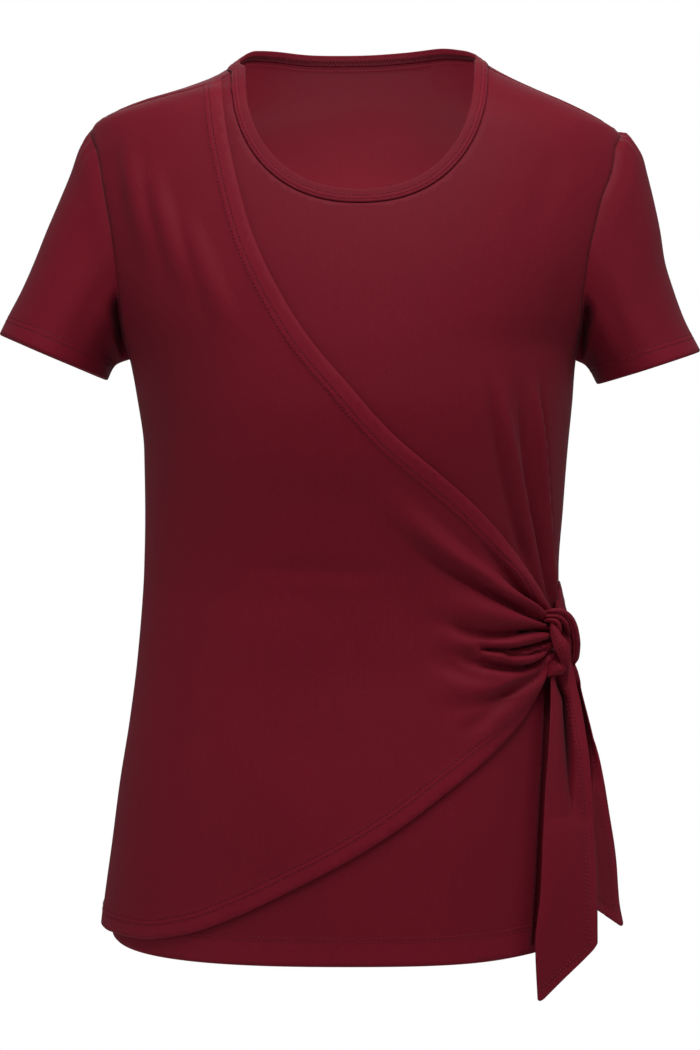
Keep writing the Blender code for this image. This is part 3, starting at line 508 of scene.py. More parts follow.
@dataclass(frozen=True)
class Cut:
    """The seams and edges of the pattern."""

    hem: float = -0.6075
    hem_rise: float = 0.0155  # from centre front to the side seam
    hem_curve: float = 3.2
    hem_lift: tuple[float, float, float] = (0.0038, 0.60, 0.20)  # how high, at what turn and how wide
    # Height, distance from the centre on the front and on the back
    armholes: dict[Side, Table] = field(
        default_factory=lambda: {
            Side.RIGHT: table("""
            -23 0 0; -48 183.4 185; -78.2 177.5 180; -106.1 172.2 175.2; -134.8 168.5 171; -161.4 166.2 168.2;
            -189 0 0"""),
            Side.LEFT: table("""
            -28.6 0 0; -44.1 180 182; -61.1 176.8 179; -85 167.7 172; -111.5 161 165.5; -143.4 155.6 158.5;
            -171 153.6 155; -189.5 0 0"""),
        }
    )
    # Distance from the centre and height, from the shoulder point to the neck
    shoulders: dict[Side, Table] = field(
        default_factory=lambda: {
            Side.RIGHT: table("155.6 -12.6; 132.7 -7.3; 110.1 -2; 96.3 4.2; 89.5 9.3"),
            Side.LEFT: table("165.5 -20.5; 141.8 -9.7; 120.7 0.4; 100.2 8.9; 90.4 14.1"),
        }
    )
    wrap_start: int = 3  # the row of the right shoulder where the wrap's edge meets it
    neck_front: float = -0.0899
    neck_round: float = 2.25
    # Turn and height
    nape: Table = table("1000 20.5; 1200 25; 1450 28.1; 1720 26.9; 2000 25.5; 2280 25.1; 2550 25.9; 2800 24.3; 3000 18")
    # Distance from the centre and height
    wrap_upper: Table = table("""
        -96.3 4.2; -90.8 -38.1; -82.4 -76.9; -73.2 -109.3; -40.2 -174.3; -8.5 -213.7; 23.3 -248.7; 56 -276.3;
        81.8 -300; 105.4 -328.9; 119.5 -354.5; 126.2 -370.5""")
    wrap_lower: Table = table("""
        126.2 -401; 123.2 -413; 113 -440; 94.5 -461; 54 -494.5; 20.2 -519.2; -13.6 -539.6; -47.6 -557.3;
        -81.8 -574.5; -119 -589; -150 -594.5; -173 -593.5""")
    wrap_corner: float = -0.5870

    def armhole(self, side: Side, back: bool, step: float = 0.004) -> Array:
        """Turn and height along an armhole seam, from the shoulder point down to the underarm."""
        (top, *_), *rows, (bottom, *_) = self.armholes[side]
        edge = 1.0 if side is Side.LEFT else (3.0 if back else -1.0)
        inner = [FIGURE.pattern(side.value * row[1 + back], row[0], back) for row in rows]
        return seam_line([(edge, top), *inner, (edge, bottom)], step)

    def shoulder(self, side: Side) -> tuple[Array, Array]:
        """A shoulder seam in two stretches, from the shoulder point to the neck."""
        rows = [(side.value * x, height) for x, height in self.shoulders[side]]
        outer = [(side.value, self.armholes[side][0][0])] + FIGURE.drawn(rows[: self.wrap_start + 1])
        return seam_line(outer), seam_line(FIGURE.drawn(rows[self.wrap_start :]))

    def hem_line(self, start: float, end: float) -> Array:
        """Turn and height along the hem between two turns: lowest at centre front and centre back."""
        turn = np.linspace(start, end, 130)
        own_turn = 4 - turn if start > 0 else turn
        from_centre = np.abs(np.where(np.abs(own_turn) > 1, 2 - np.abs(own_turn), own_turn))
        high, at, wide = self.hem_lift
        lift = high * bump_at(own_turn, at, wide)
        return np.stack([turn, self.hem + self.hem_rise * from_centre**self.hem_curve + lift], axis=1)

    def neck_line(self) -> Array:
        """Turn and height along the front neck seam, from the wearer's left to the right."""
        rows = []
        for angle in np.linspace(0, math.pi, 61):
            width, top = self.shoulders[Side.LEFT if angle < math.pi / 2 else Side.RIGHT][-1]
            x = math.copysign(abs(math.cos(angle)) ** (2 / self.neck_round), math.cos(angle)) * width
            rise = math.sin(angle) ** (2 / self.neck_round)
            rows.append(FIGURE.pattern(x, top + (self.neck_front - top) * rise))
        return seam_line(rows)

    def nape_line(self) -> Array:
        """Turn and height along the back neck seam, from the left shoulder seam to the right."""
        width, height = self.shoulders[Side.RIGHT][-1]
        right = FIGURE.pattern(-width, height)
        return seam_line([FIGURE.pattern(*self.shoulders[Side.LEFT][-1]), *self.nape, (4 + right[0], right[1])])


CUT = Cut()


def nearest(places: Array, lines: Sequence[Array], by: float = 0.0) -> Array:
    """How far the figure's surface at some places lies from the nearest of some lines.

    Args:
        places: rows of turn and height.
        lines: lines of turn and height.
        by: how far each line is taken to run on straight past both ends.

    Returns:
        The distances, at most FAR.
    """
    spots = FIGURE.at(places[:, 0], places[:, 1])
    best = np.full(len(places), FAR)
    for line in lines:
        run = FIGURE.at(line[:, 0], line[:, 1])
        close = np.all((spots > run.min(axis=0) - FAR) & (spots < run.max(axis=0) + FAR), axis=1)
        if by:
            first, last = unit(run[0] - run[3]) * by, unit(run[-1] - run[-4]) * by
            run = np.concatenate([[run[0] + first], run, [run[-1] + last]])
        if close.any():
            best[close] = np.minimum(best[close], distance_to(spots[close], run)[0])
    return best


def surface_marks(places: Array, edges: Sequence[Array], seams: Sequence[Array]) -> dict[str, Array]:
    """What a finish reads at rows of turn and height: distances from finished edges and from seams."""
    return {"edge": nearest(places, edges, 0.03), "seam": nearest(places, seams)}


# ---------------------------------------------------------------------------- finishes


class Tree:
    """A node tree that is built in short steps."""

    def __init__(self, tree: bpy.types.NodeTree) -> None:
        """Keeps the tree."""
        self.tree = tree

    @staticmethod
    def of_material(name: str) -> "tuple[bpy.types.Material, Tree]":
        """A new material and its empty tree."""
        made = bpy.data.materials.new(name)
        made.use_nodes = True
        made.node_tree.nodes.clear()
        return made, Tree(made.node_tree)

    def put(self, kind: str, **inputs: object) -> bpy.types.Node:
        """Adds a node.

        Args:
            kind: the node's type, without ShaderNode.
            inputs: settings by attribute name, or inputs by socket name or i0, i1 for a numbered one.

        Returns:
            The node.
        """
        node = self.tree.nodes.new("ShaderNode" + kind)
        for name, value in inputs.items():
            if hasattr(node, name) and name not in node.inputs:
                setattr(node, name, value)
                continue
            socket = node.inputs[int(name[1:])] if name[0] == "i" and name[1:].isdigit() else node.inputs[name]
            self.set(socket, value)
        return node

    def set(self, socket: bpy.types.NodeSocket, value: object) -> None:
        """Links a socket to another, or sets its own value."""
        if isinstance(value, bpy.types.NodeSocket):
            self.tree.links.new(value, socket)
        else:
            socket.default_value = value

    def use(self, name: str, **inputs: object) -> dict[str, bpy.types.NodeSocket]:
        """Adds a shared group and gives its outputs."""
        return self.put("Group", node_tree=bpy.data.node_groups[name], **inputs).outputs

    def math(self, operation: str, first: object, second: object = 0.0, third: object = 0.0) -> bpy.types.NodeSocket:
        """A sum or other operation on numbers."""
        return self.put("Math", operation=operation, i0=first, i1=second, i2=third).outputs[0]

    def noise(self, place: object, scale: object, detail: float) -> bpy.types.NodeSocket:
        """A cloudy value over the surface."""
        return self.put("TexNoise", Vector=place, Scale=scale, Detail=detail).outputs[0]

    def blend(self, share: object, first: object, second: object, kind: str = "MIX") -> bpy.types.NodeSocket:
        """A mix of two colours."""
        return self.put("Mix", data_type="RGBA", blend_type=kind, i0=share, i6=first, i7=second).outputs[2]


def group(name: str, inputs: dict[str, float | str], outputs: Sequence[str]) -> tuple[Tree, dict, dict]:
    """Starts a node group.

    Args:
        name: the group's name.
        inputs: each input's default, or the word vector.
        outputs: the outputs' names, all numbers.

    Returns:
        The tree, its inputs' sockets and its outputs' sockets by name.
    """
    made = bpy.data.node_groups.new(name, "ShaderNodeTree")
    for socket, value in inputs.items():
        kind = "NodeSocketVector" if value == "vector" else "NodeSocketFloat"
        new = made.interface.new_socket(socket, in_out="INPUT", socket_type=kind)
        if value != "vector":
            new.default_value = value
    for socket in outputs:
        made.interface.new_socket(socket, in_out="OUTPUT", socket_type="NodeSocketFloat")
    start, end = made.nodes.new("NodeGroupInput"), made.nodes.new("NodeGroupOutput")
    return Tree(made), {n: start.outputs[n] for n in inputs}, {n: end.inputs[n] for n in outputs}


def knit_group() -> None:
    """The face of a single jersey: upright wales of small loops, never quite even."""
    inputs = {"Place": "vector", "Wale": 0.00125, "Course": 0.0010, "Uneven": 0.35}
    tree, given, out = group("knit_loops", inputs, ["Height", "Shade"])
    place, maths = given["Place"], tree.math
    x, y, _ = tree.put("SeparateXYZ", Vector=place).outputs
    sway = maths("MULTIPLY", maths("SUBTRACT", tree.noise(place, 90.0, 2.0), 0.5), given["Uneven"])
    across = maths("ADD", maths("DIVIDE", x, given["Wale"]), sway)
    along = maths("ADD", maths("DIVIDE", y, given["Course"]), sway)
    wale = maths("ABSOLUTE", maths("SINE", maths("MULTIPLY", across, math.pi)))
    course = maths("SINE", maths("MULTIPLY", along, FULL_TURN))
    loops = maths("MULTIPLY_ADD", course, 0.12, wale)
    tree.set(out["Height"], maths("MULTIPLY_ADD", tree.noise(place, 1400.0, 3.0), 0.5, loops))
    drawn_out = tree.put("VectorMath", operation="MULTIPLY", i0=place, i1=(420.0, 26.0, 1.0)).outputs[0]
    streak = maths("MULTIPLY", tree.noise(drawn_out, 1.0, 2.0), 0.65)
    tree.set(out["Shade"], maths("MULTIPLY_ADD", wale, 0.35, streak))


def sewing_group() -> None:
    """A turned and twin-stitched edge: grooves under its two rows and the thicker band outside them, with masks for the
    painted shade in the rows and along the seams and for the painted highlight on the band.
    """
    inputs = {"Edge": FAR, "Seam": FAR, "Row A": 0.0095, "Row B": 0.013, "Groove": 0.0008, "Place": "vector"}
    tree, given, out = group("sewn_edges", inputs, ["Height", "Band", "Rows", "Seam line"])
    edge, seam, row_b, maths = given["Edge"], given["Seam"], given["Row B"], tree.math

    def ramp(value: object, start: object, end: object) -> bpy.types.NodeSocket:
        """1 at a start, falling softly to 0 at an end."""
        step = tree.put("MapRange", interpolation_type="SMOOTHSTEP", i0=value, i1=start, i2=end, i3=1.0, i4=0.0)
        return step.outputs[0]

    def bell(centre: object, width: object, distance: object) -> bpy.types.NodeSocket:
        """1 at a distance from the edge and 0 away from it."""
        return ramp(maths("ABSOLUTE", maths("SUBTRACT", distance, centre)), 0.0, width)

    # Rows is the grooves' bump and also the mask of the painted shade that darkens them.
    rows = maths("MAXIMUM", *(bell(given[row], given["Groove"], edge) for row in ("Row A", "Row B")))
    # Band lifts the turned edge's bump and also masks its painted highlight.
    band = ramp(edge, row_b, maths("ADD", row_b, 0.0012))
    pull = tree.noise(given["Place"], 330.0, 1.0)
    pucker = maths("MULTIPLY", bell(0.0110, 0.0060, edge), maths("SUBTRACT", pull, 0.5))
    ease = maths("MULTIPLY", bell(0.0, 0.0050, seam), maths("SUBTRACT", pull, 0.62))
    height = maths("MULTIPLY_ADD", rows, -0.6, maths("MULTIPLY", band, 0.5))
    height = maths("ADD", height, maths("ADD", maths("MULTIPLY", pucker, 0.9), ease))
    # Painted seam shade: a dark line painted along each seam, standing in for the shadow in its gap.
    results = {"Rows": rows, "Seam line": bell(0.0, 0.0013, seam), "Band": band, "Height": height}
    for name, result in results.items():
        tree.set(out[name], result)


def tone_group() -> None:
    """How dyed cloth varies: slow clouds of tone and a finer grain of lint."""
    tree, given, out = group("dyed_tone", {"Place": "vector", "Clouds": 9.0, "Grain": 420.0}, ["Tone", "Lint"])
    clouds = tree.noise(given["Place"], given["Clouds"], 3.0)
    grain = tree.noise(given["Place"], given["Grain"], 2.0)
    tree.set(out["Tone"], tree.math("MULTIPLY_ADD", grain, 0.3, tree.math("MULTIPLY", clouds, 0.7)))
    tree.set(out["Lint"], tree.put("MapRange", i0=grain, i1=0.62, i2=0.78).outputs[0])


@dataclass(frozen=True)
class Jersey:
    """Burgundy viscose jersey, matte with a faint bloom."""

    name: str
    shade: float = 1.0
    rows: tuple[float, float] = (0.0095, 0.0130)  # how far the stitches lie from the edge
    groove: float = 0.70  # painted shade: how much the stitch rows are darkened, standing in for the shadow in their grooves
    crumple: float = 0.0  # how strong the small creases are
    colour: Place3 = (0.146, 0.0032, 0.0125)
    lint: Place3 = (0.30, 0.10, 0.12)
    roughness: float = 0.62
    sheen: float = 0.035

    def tinted(self, red: float, green: float, blue: float) -> tuple[float, ...]:
        """The dye's colour with each part multiplied."""
        return (*(c * self.shade * k for c, k in zip(self.colour, (red, green, blue))), 1.0)

    def material(self) -> bpy.types.Material:
        """The material with its weave, sewing, tone and bump, painted shade at its stitch rows and seams, and a painted
        highlight on its turned band.
        """
        made, tree = Tree.of_material("jersey_" + self.name)
        place = tree.put("UVMap", uv_map="pattern").outputs[0]
        world = tree.put("TexCoord").outputs["Object"]
        edge, seam = (tree.put("Attribute", attribute_name=name).outputs["Fac"] for name in ("edge", "seam"))
        knit = tree.use("knit_loops", Place=place)
        tone = tree.use("dyed_tone", Place=world)
        rows = {"Row A": self.rows[0], "Row B": self.rows[1]}
        sewn = tree.use("sewn_edges", Edge=edge, Seam=seam, Place=world, **rows)
        mixed = tree.blend(tone["Tone"], self.tinted(0.80, 0.80, 0.80), self.tinted(1.20, 1.25, 1.22))
        loops = tree.put("MapRange", i0=knit["Shade"], i1=0.2, i2=0.8, i3=0.95, i4=1.05)
        mixed = tree.blend(1.0, mixed, loops.outputs[0], "MULTIPLY")
        for part, share, colour in (
            (tone["Lint"], 0.04, (*self.lint, 1.0)),
            # painted shade: the stitch rows darkened, for the shadow in their grooves
            (sewn["Rows"], self.groove, self.tinted(0.42, 0.42, 0.42)),
            # painted shade: a dark line along the seams, for the shadow in their gaps
            (sewn["Seam line"], 0.85, self.tinted(0.16, 0.16, 0.16)),
            # painted highlight: the turned-up band lightened, for the light its raised double layer catches
            (sewn["Band"], 0.20, self.tinted(1.7, 2.2, 2.0)),
        ):
            mixed = tree.blend(tree.math("MULTIPLY", part, share), mixed, colour)
        rough = tree.put("MapRange", i0=tone["Tone"], i3=self.roughness - 0.06, i4=self.roughness + 0.08)
        bump = tree.put("Bump", Strength=0.10, Distance=0.00025, Height=knit["Height"])
        if self.crumple:
            creased = tree.noise(world, 230.0, 2.5)
            soft = tree.put("Bump", Strength=self.crumple, Distance=0.0016, Height=creased)
            tree.set(bump.inputs["Normal"], soft.outputs[0])
        bump = tree.put("Bump", Strength=0.6, Distance=0.0007, Height=sewn["Height"], Normal=bump.outputs[0])
        shader = tree.put("BsdfPrincipled", Roughness=rough.outputs[0], Normal=bump.outputs[0], Metallic=0.0)
        tree.set(shader.inputs["Base Color"], mixed)
        shader.inputs["Specular IOR Level"].default_value = 0.11
        shader.inputs["Sheen Weight"].default_value = self.sheen
        shader.inputs["Sheen Roughness"].default_value = 0.60
        shader.inputs["Sheen Tint"].default_value = (1.0, 0.62, 0.72, 1.0)
        tree.put("OutputMaterial", Surface=shader.outputs[0])
        return made


@dataclass(frozen=True)
class SewingThread:
    """Spun polyester thread, dyed to the cloth, with its twist; the cover stitch's darker copy is painted shade."""

    name: str = "sewing_thread"
    colour: Place3 = (0.205, 0.0120, 0.0280)

    def material(self) -> bpy.types.Material:
        """The material with its twist and wear."""
        made, tree = Tree.of_material(self.name)
        world = tree.put("TexCoord").outputs["Object"]
        tone = tree.use("dyed_tone", Place=world, Grain=1800.0)["Tone"]
        mixed = tree.blend(tone, *((*(c * k for c in self.colour), 1.0) for k in (0.6, 1.3)))
        twist = tree.put("TexWave", Vector=world, Scale=900.0, bands_direction="DIAGONAL").outputs[1]
        bump = tree.put("Bump", Strength=0.4, Distance=0.0001, Height=twist)
        rough = tree.put("MapRange", i0=tone, i3=0.45, i4=0.62)
        shader = tree.put("BsdfPrincipled", Roughness=rough.outputs[0], Normal=bump.outputs[0])
        tree.set(shader.inputs["Base Color"], mixed)
        shader.inputs["Specular IOR Level"].default_value = 0.15
        tree.put("OutputMaterial", Surface=shader.outputs[0])
        return made


THREAD = SewingThread()
# Painted shade: the cover stitch's thread is made much darker, for the shadow between its threads inside the back neck.
SHADE_PAINTED_THREAD = SewingThread("cover_thread_painted_shade", (0.070, 0.0030, 0.0080))


def stands_in(piece: bpy.types.Object, finish: Jersey, node: str) -> None:
    """Gives a piece of cloth its finish, and lets it stand for a solid."""
    piece.data.materials.append(finish.material())
    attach(piece, "root")
    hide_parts(node)
    LOG.info("%s: %d faces", piece.name, len(piece.data.polygons))


@dataclass(frozen=True)
class Sheet:
    """What is said of a sheet of cloth: its cut, how it is held, its area if not a rectangle, and what carries it."""

    cut: tuple[float, float]
    held: Held
    area: float | None = None
    rests_on: tuple[str, ...] = ()

    def declare(self, trims: Sequence[bpy.types.Object] = ()) -> None:
        """Takes what carries the sheet and the sewing that lies on it, and does nothing with them."""
        rests_on, trims = list(self.rests_on), list(trims)


# ---------------------------------------------------------------------------- sewing


@dataclass(frozen=True)
class Stitch:
    """One stitch of thread: a small rounded rod that sinks into the cloth."""

    radius: float = 0.00027
    thread: SewingThread = THREAD
    long: float = 0.0021
    gap: float = 0.0008
    sides: int = 5
    # Share of its length, half width and height, both as shares of the radius
    profile: Table = ((0.0, 0.0, -0.5), (0.12, 0.8, 0.0), (0.5, 1.0, 0.35), (0.88, 0.8, 0.0), (1.0, 0.0, -0.5))

    def rods(self, name: str, starts: Array, ends: Array, normals: Array) -> bpy.types.Object:
        """One object of many stitches.

        Args:
            name: its name.
            starts: where each stitch goes in.
            ends: where it comes out.
            normals: the cloth's outward direction at each.

        Returns:
            The object.
        """
        run = unit(ends - starts)
        side = unit(np.cross(run, normals))
        up = np.cross(side, run)
        angles = np.linspace(0, FULL_TURN, self.sides, endpoint=False)
        rings = []
        for along, wide, lift in self.profile:
            centre = starts + (ends - starts) * along + up * (lift * self.radius)
            for angle in angles if wide else angles[:1]:
                offset = side * math.cos(angle) + up * math.sin(angle)
                rings.append(centre + offset * (wide * self.radius))
        points = np.stack(rings, axis=1)
        n, each = self.sides, points.shape[1]
        k = np.arange(n)
        after, tip = (k + 1) % n, 1 + 3 * n
        first = np.stack([0 * k, 1 + after, 1 + k], axis=1)
        last = np.stack([0 * k + tip, tip - n + k, tip - n + after], axis=1)
        faces = np.concatenate([first, grid_faces(3, n, True) + 1, last])
        every = (faces[None] + (np.arange(len(points)) * each)[:, None, None]).reshape(-1, 3)
        size = np.linalg.norm(ends - starts, axis=1)
        uv = np.repeat(np.cumsum(size)[:, None], each, axis=0) * (1.0, 0.2)
        made = mesh_object(name, points.reshape(-1, 3), every, uv, {})
        made.data.materials.append(bpy.data.materials.get(self.thread.name) or self.thread.material())
        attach(made, "root")
        LOG.info("%s: %d stitches", name, len(points))
        return made

    def rows(self, name: str, lines: Sequence[tuple[Array, Array]]) -> bpy.types.Object:
        """One object with a row of stitches along each line.

        Args:
            name: its name.
            lines: for each row its points in space and the cloth's outward directions there.

        Returns:
            The object.
        """
        parts = []
        for line, normals in lines:
            along = lengths(line)
            first = np.arange(self.gap, along[-1] - self.long, self.long + self.gap)
            where = (first + self.long / 2) / along[-1] * (len(line) - 1)
            out = unit(sampled(where, np.arange(len(line)), normals))
            parts.append((sampled(first, along, line), sampled(first + self.long, along, line), out))
        return self.rods(name, *(np.concatenate(part) for part in zip(*parts)))


STITCH = Stitch()
HEM_STITCH = Stitch(0.00036)
COVER_STITCH = Stitch(0.00028, SHADE_PAINTED_THREAD)


@dataclass(frozen=True)
class Spread:
    """A panel's cloth as it lies: off the figure by a layer and by its creases."""

    off: float
    folds: tuple[Crease, ...]
    seams: tuple[Array, ...]
    layered: tuple[Array, ...] = ()  # seams that take in the layer above too
    single: tuple[Array, ...] = ()  # seams beside them that don't
    under: "Spread | None" = None
    lift_at: Callable[[Array], Array] | None = None
    eased: float = 0.024  # how far from a seam the cloth is free
    chest: tuple[float, float] = (-0.22, -0.18)  # between these heights it begins to ease out more slowly
    dip: tuple[float, float] = (0.0007, 0.0026)  # how deep and wide the seams' own groove is
    tuck: tuple[float, float] = (0.0065, 0.30)  # how deep and wide the tuck below the wrap's corner is
    tucked_from: tuple[float, float] = (0.560, 0.596)  # between these depths it comes in

    def lift(self, places: Array) -> Array:
        """How far the inner face lies off the figure at rows of turn and height."""
        if self.under is not None:
            return self.laid(places)
        deep, wide = self.tuck
        beside_wrap = bump_at(np.abs(places[:, 0] + 1) % 4, 0.0, wide) * smooth(-places[:, 1], *self.tucked_from)
        return self.laid(places) - deep * beside_wrap

    def laid(self, places: Array) -> Array:
        """The same without the tuck below the wrap's corner."""
        spots = FIGURE.seen(places)
        beside = nearest(places, self.seams)
        high = smooth(places[:, 1], *self.chest)
        own = relief(self.folds, spots) * smooth(beside, 0.0, self.eased)
        if self.lift_at:
            own = own + self.lift_at(spots) * smooth(beside / (1 + high), 0.0, self.eased)
        if self.under is not None:
            return self.off + self.under.laid(places) + np.maximum(own, 0.0)
        if self.layered:
            sunk = 1 - smooth(nearest(places, self.layered) / (1 + 0.75 * high), 0.0, self.eased)
            own = own - LAYER * sunk * smooth(nearest(places, self.single), 0.0, 0.008)
        deep, wide = self.dip
        return self.off + own - deep * (1 - smooth(beside, 0.0, wide))

    def inner(self, places: Array) -> Array:
        """Points of the inner face at rows of turn and height."""
        return FIGURE.raised(places[:, 0], places[:, 1], self.lift(places))

    def row(self, line: Array, shift: float | Array, outline: Array) -> tuple[Array, Array]:
        """A row of stitches beside an edge.

        Args:
            line: the edge's turn and height; the cloth lies to the left of its run.
            shift: how far from the edge the row lies.
            outline: the piece's outline, which the row stays inside.

        Returns:
            Points on the outer face and the cloth's directions there.
        """
        moved = FIGURE.shifted(line, shift)
        moved = moved[inside(flat(moved), flat(inset(outline, STITCH_ROOM)))]
        small = np.array((0.004, 0.0)), np.array((0.0, 0.001))
        normals = unit(np.cross(*(self.inner(moved + s) - self.inner(moved - s) for s in small)))
        return self.inner(moved) + normals * CLOTH, normals


def turn_up(edge: Array, wide: float, before: float = 0.002, after: float = 0.001) -> Array:
    """How thick the turned-up cloth is at distances from the edge, with a soft step at its width."""
    return CLOTH * TURNED_LAYER * (1 - smooth(edge, wide - before, wide + after))


@dataclass(frozen=True)
class Bodice:
    """The full front and back, and the wrapped front."""

    hem_rows: tuple[float, float] = (0.0165, 0.0190)
    wrap_rows: tuple[float, float] = (0.0093, 0.0129)
    wrap_turned: float = 0.45  # how much of the turned edge's layer shows on the wrap's face
    wrap_past: float = 0.001  # how far it reaches past its inner row of stitches
    front_step: float = 0.0031
    back_step: float = 0.0042
    wrap_step: float = 0.0036
    beside_tail: Fine = Fine((0.128, -0.500), 0.095, 0.0021)
    beside_knot: Fine = Fine((0.120, -0.389), 0.062, 0.0017)
    # Each row: height, half width at the start and at the end, rise, fade, then the route from its deep end
    front_folds: tuple[Crease, ...] = creases("""
        4.4 5.5 6.5 350 990  93.5 -196 99.5 -236 109.2 -284 116.7 -316 124.4 -346 129.2 -363;
        5.6 6 6 350 990  119 -196 123.5 -245 128.7 -305 132.2 -340 135 -362;
        -6.2 3.2 3 350 990  122.8 -196 127 -245 132.2 -305 135.7 -340 137.8 -364;
        -4.6 5.5 4.5 350 990  107 -200 113 -250 120.3 -305 126.6 -340 131.5 -362;
        -3.4 5 5 350 850  88 -205 93 -250 103 -296 110.6 -322 117 -343;
        -10.5 4.4 5.6 120 970  132.8 -415 132 -437 130.7 -468 128.7 -495 127 -526 125.3 -556 122 -602;
        -0.9 14 20 300 500  140 -45 128 -80 112 -120;
        -1 12 18 300 500  150 -120 138 -160 120 -200""")
    back_folds: tuple[Crease, ...] = creases("""
        -1.2 16 22 200 400  -150 -130 -110 -170 -60 -200;
        -1.1 14 20 200 400  146 -125 112 -160 50 -205;
        -1.4 16 22 300 700  -118 -300 -50 -330 40 -322 118 -300;
        1.3 16 22 300 700  -120 -330 -45 -362 50 -356 125 -335;
        -1.2 14 20 150 400  142 -372 95 -392 30 -430;
        1.4 14 22 150 400  142 -392 100 -420 45 -470;
        -1.1 16 24 400 900  -60 -400 -66 -480 -72 -590;
        1 18 26 400 900  48 -430 52 -510 58 -600""")
    wrap_folds: tuple[Crease, ...] = creases("""
        5 5.5 13 0 350  126.2 -372.5 118 -355.6 103 -336.5 80 -307;
        8.8 5.2 18 0 350  126.2 -377.2 117 -367.1 95.3 -352.9 66.5 -332.7 30 -301 4 -276;
        8.6 7.5 30 0 350  126.2 -381.5 115 -376.5 98 -373 73 -364 32 -343;
        9 5 16 0 350  126.4 -386.6 110.3 -388.3 95.3 -391.8 78 -390.5 43 -379;
        7.4 3.4 6 0 600  126.4 -390.5 120 -394 106 -397.2 90 -396.8;
        9 5 14 0 350  126.4 -393 120 -398.5 106 -402.5 88 -400 52 -386;
        8.2 8 28 0 350  126.2 -396.5 119 -409 104 -416.5 80 -417.5 38 -407;
        5.4 7.5 26 0 350  125.6 -400 120 -416 106 -429 88 -442 56 -461;
        -5.2 2.8 7 0 400  125 -373.8 117 -363 107.5 -354.5 92.3 -332.9 75 -311;
        -7.2 3 10 0 500  125 -379 110.4 -371.8 95.3 -361.1 73.5 -345.1 52.8 -332.7 29 -311;
        -6.6 2.8 8 0 600  125 -384.2 116.9 -382.2 102.4 -384.5 88 -386.2 76 -384.5 56 -374;
        -7.8 2.6 6 0 650  125 -388.8 114.6 -393.4 100.9 -395.2 85 -394 70 -390;
        -5.2 2.2 4 100 700  123.5 -395 114.7 -398.9 103 -399.2 91 -398.5;
        -8.2 3 9 0 600  125 -396.2 118.2 -405.5 106.7 -408.5 95.3 -406.8 79.9 -402.2 60 -393.5;
        -2.4 6 12 300 500  100 -419 75.7 -414.5 56.3 -404 40 -396;
        -4.4 4 11 100 500  125 -401 119 -411 102.3 -421.7 90.9 -428.9 72 -436;
        -3 6 12 250 500  108 -429 93.7 -433 81 -444.2 60 -456;
        -1.1 12 12 400 600  -96 -342 -40.5 -340 0.4 -341.5 48 -338;
        3.4 10 14 400 550  -161 -30 -156 -70 -148 -105 -136 -140;
        3.6 9 15 400 550  -143 -55 -135 -90 -124 -125 -108 -165;
        2.8 10 15 400 550  -122 -85 -110 -120 -96 -155 -80 -190""")
    knot_at: tuple[float, float] = (0.1425, -0.3890)
    knot_lift: float = 0.0040
    knot_spread: float = 0.030
    ease: float = 0.0012
    narrowest: float = 0.50  # share of the turned edge's width that is left at the knot
    narrows: tuple[float, float] = (0.02, 0.11)  # between these distances from the knot it narrows

    def knot_rise(self, spots: Array) -> Array:
        """How far the gathers stand off the full front round the knot, and a little ease elsewhere."""
        away = np.linalg.norm(spots - self.knot_at, axis=1)
        return self.knot_lift * bump_at(away, 0.0, self.knot_spread) + self.ease * smooth(away, 0.0, 0.02)

    def hem_width(self, places: Array) -> Array:
        """How the wrap's turned edge narrows as it is drawn into the knot, as a share of its width."""
        away = np.linalg.norm(FIGURE.seen(places) - np.array(self.knot_at), axis=1)
        return self.narrowest + (1 - self.narrowest) * smooth(away, *self.narrows)

    @cached_property
    def lines(self) -> dict[str, Array]:
        """The lines that bound the full front and the wrapped front."""
        outer, inner = CUT.shoulder(Side.RIGHT)
        left_outer, left_inner = CUT.shoulder(Side.LEFT)
        side_end = CUT.hem + CUT.hem_rise
        gather = seam_line([FIGURE.pattern(*CUT.wrap_upper[-1]), FIGURE.pattern(*CUT.wrap_lower[0])], 0.0025)
        return {
            "hem": CUT.hem_line(-1, 1),
            "left_side": seam_line([(1.0, side_end), (1.0, CUT.armholes[Side.LEFT][-1][0])]),
            "left_arm": CUT.armhole(Side.LEFT, False)[::-1],
            "left_outer": left_outer,
            "left_inner": left_inner,
            "neck": CUT.neck_line(),
            "inner": inner[::-1],
            "outer": outer[::-1],
            "right_arm": CUT.armhole(Side.RIGHT, False),
            "side_high": seam_line([(-1.0, CUT.armholes[Side.RIGHT][-1][0]), (-1.0, CUT.wrap_corner)]),
            "side_low": seam_line([(-1.0, CUT.wrap_corner), (-1.0, side_end)]),
            "upper": seam_line(FIGURE.drawn(CUT.wrap_upper)),
            "gather": gather,
            "lower": seam_line(FIGURE.drawn(CUT.wrap_lower) + [(-1.0, CUT.wrap_corner)]),
        }

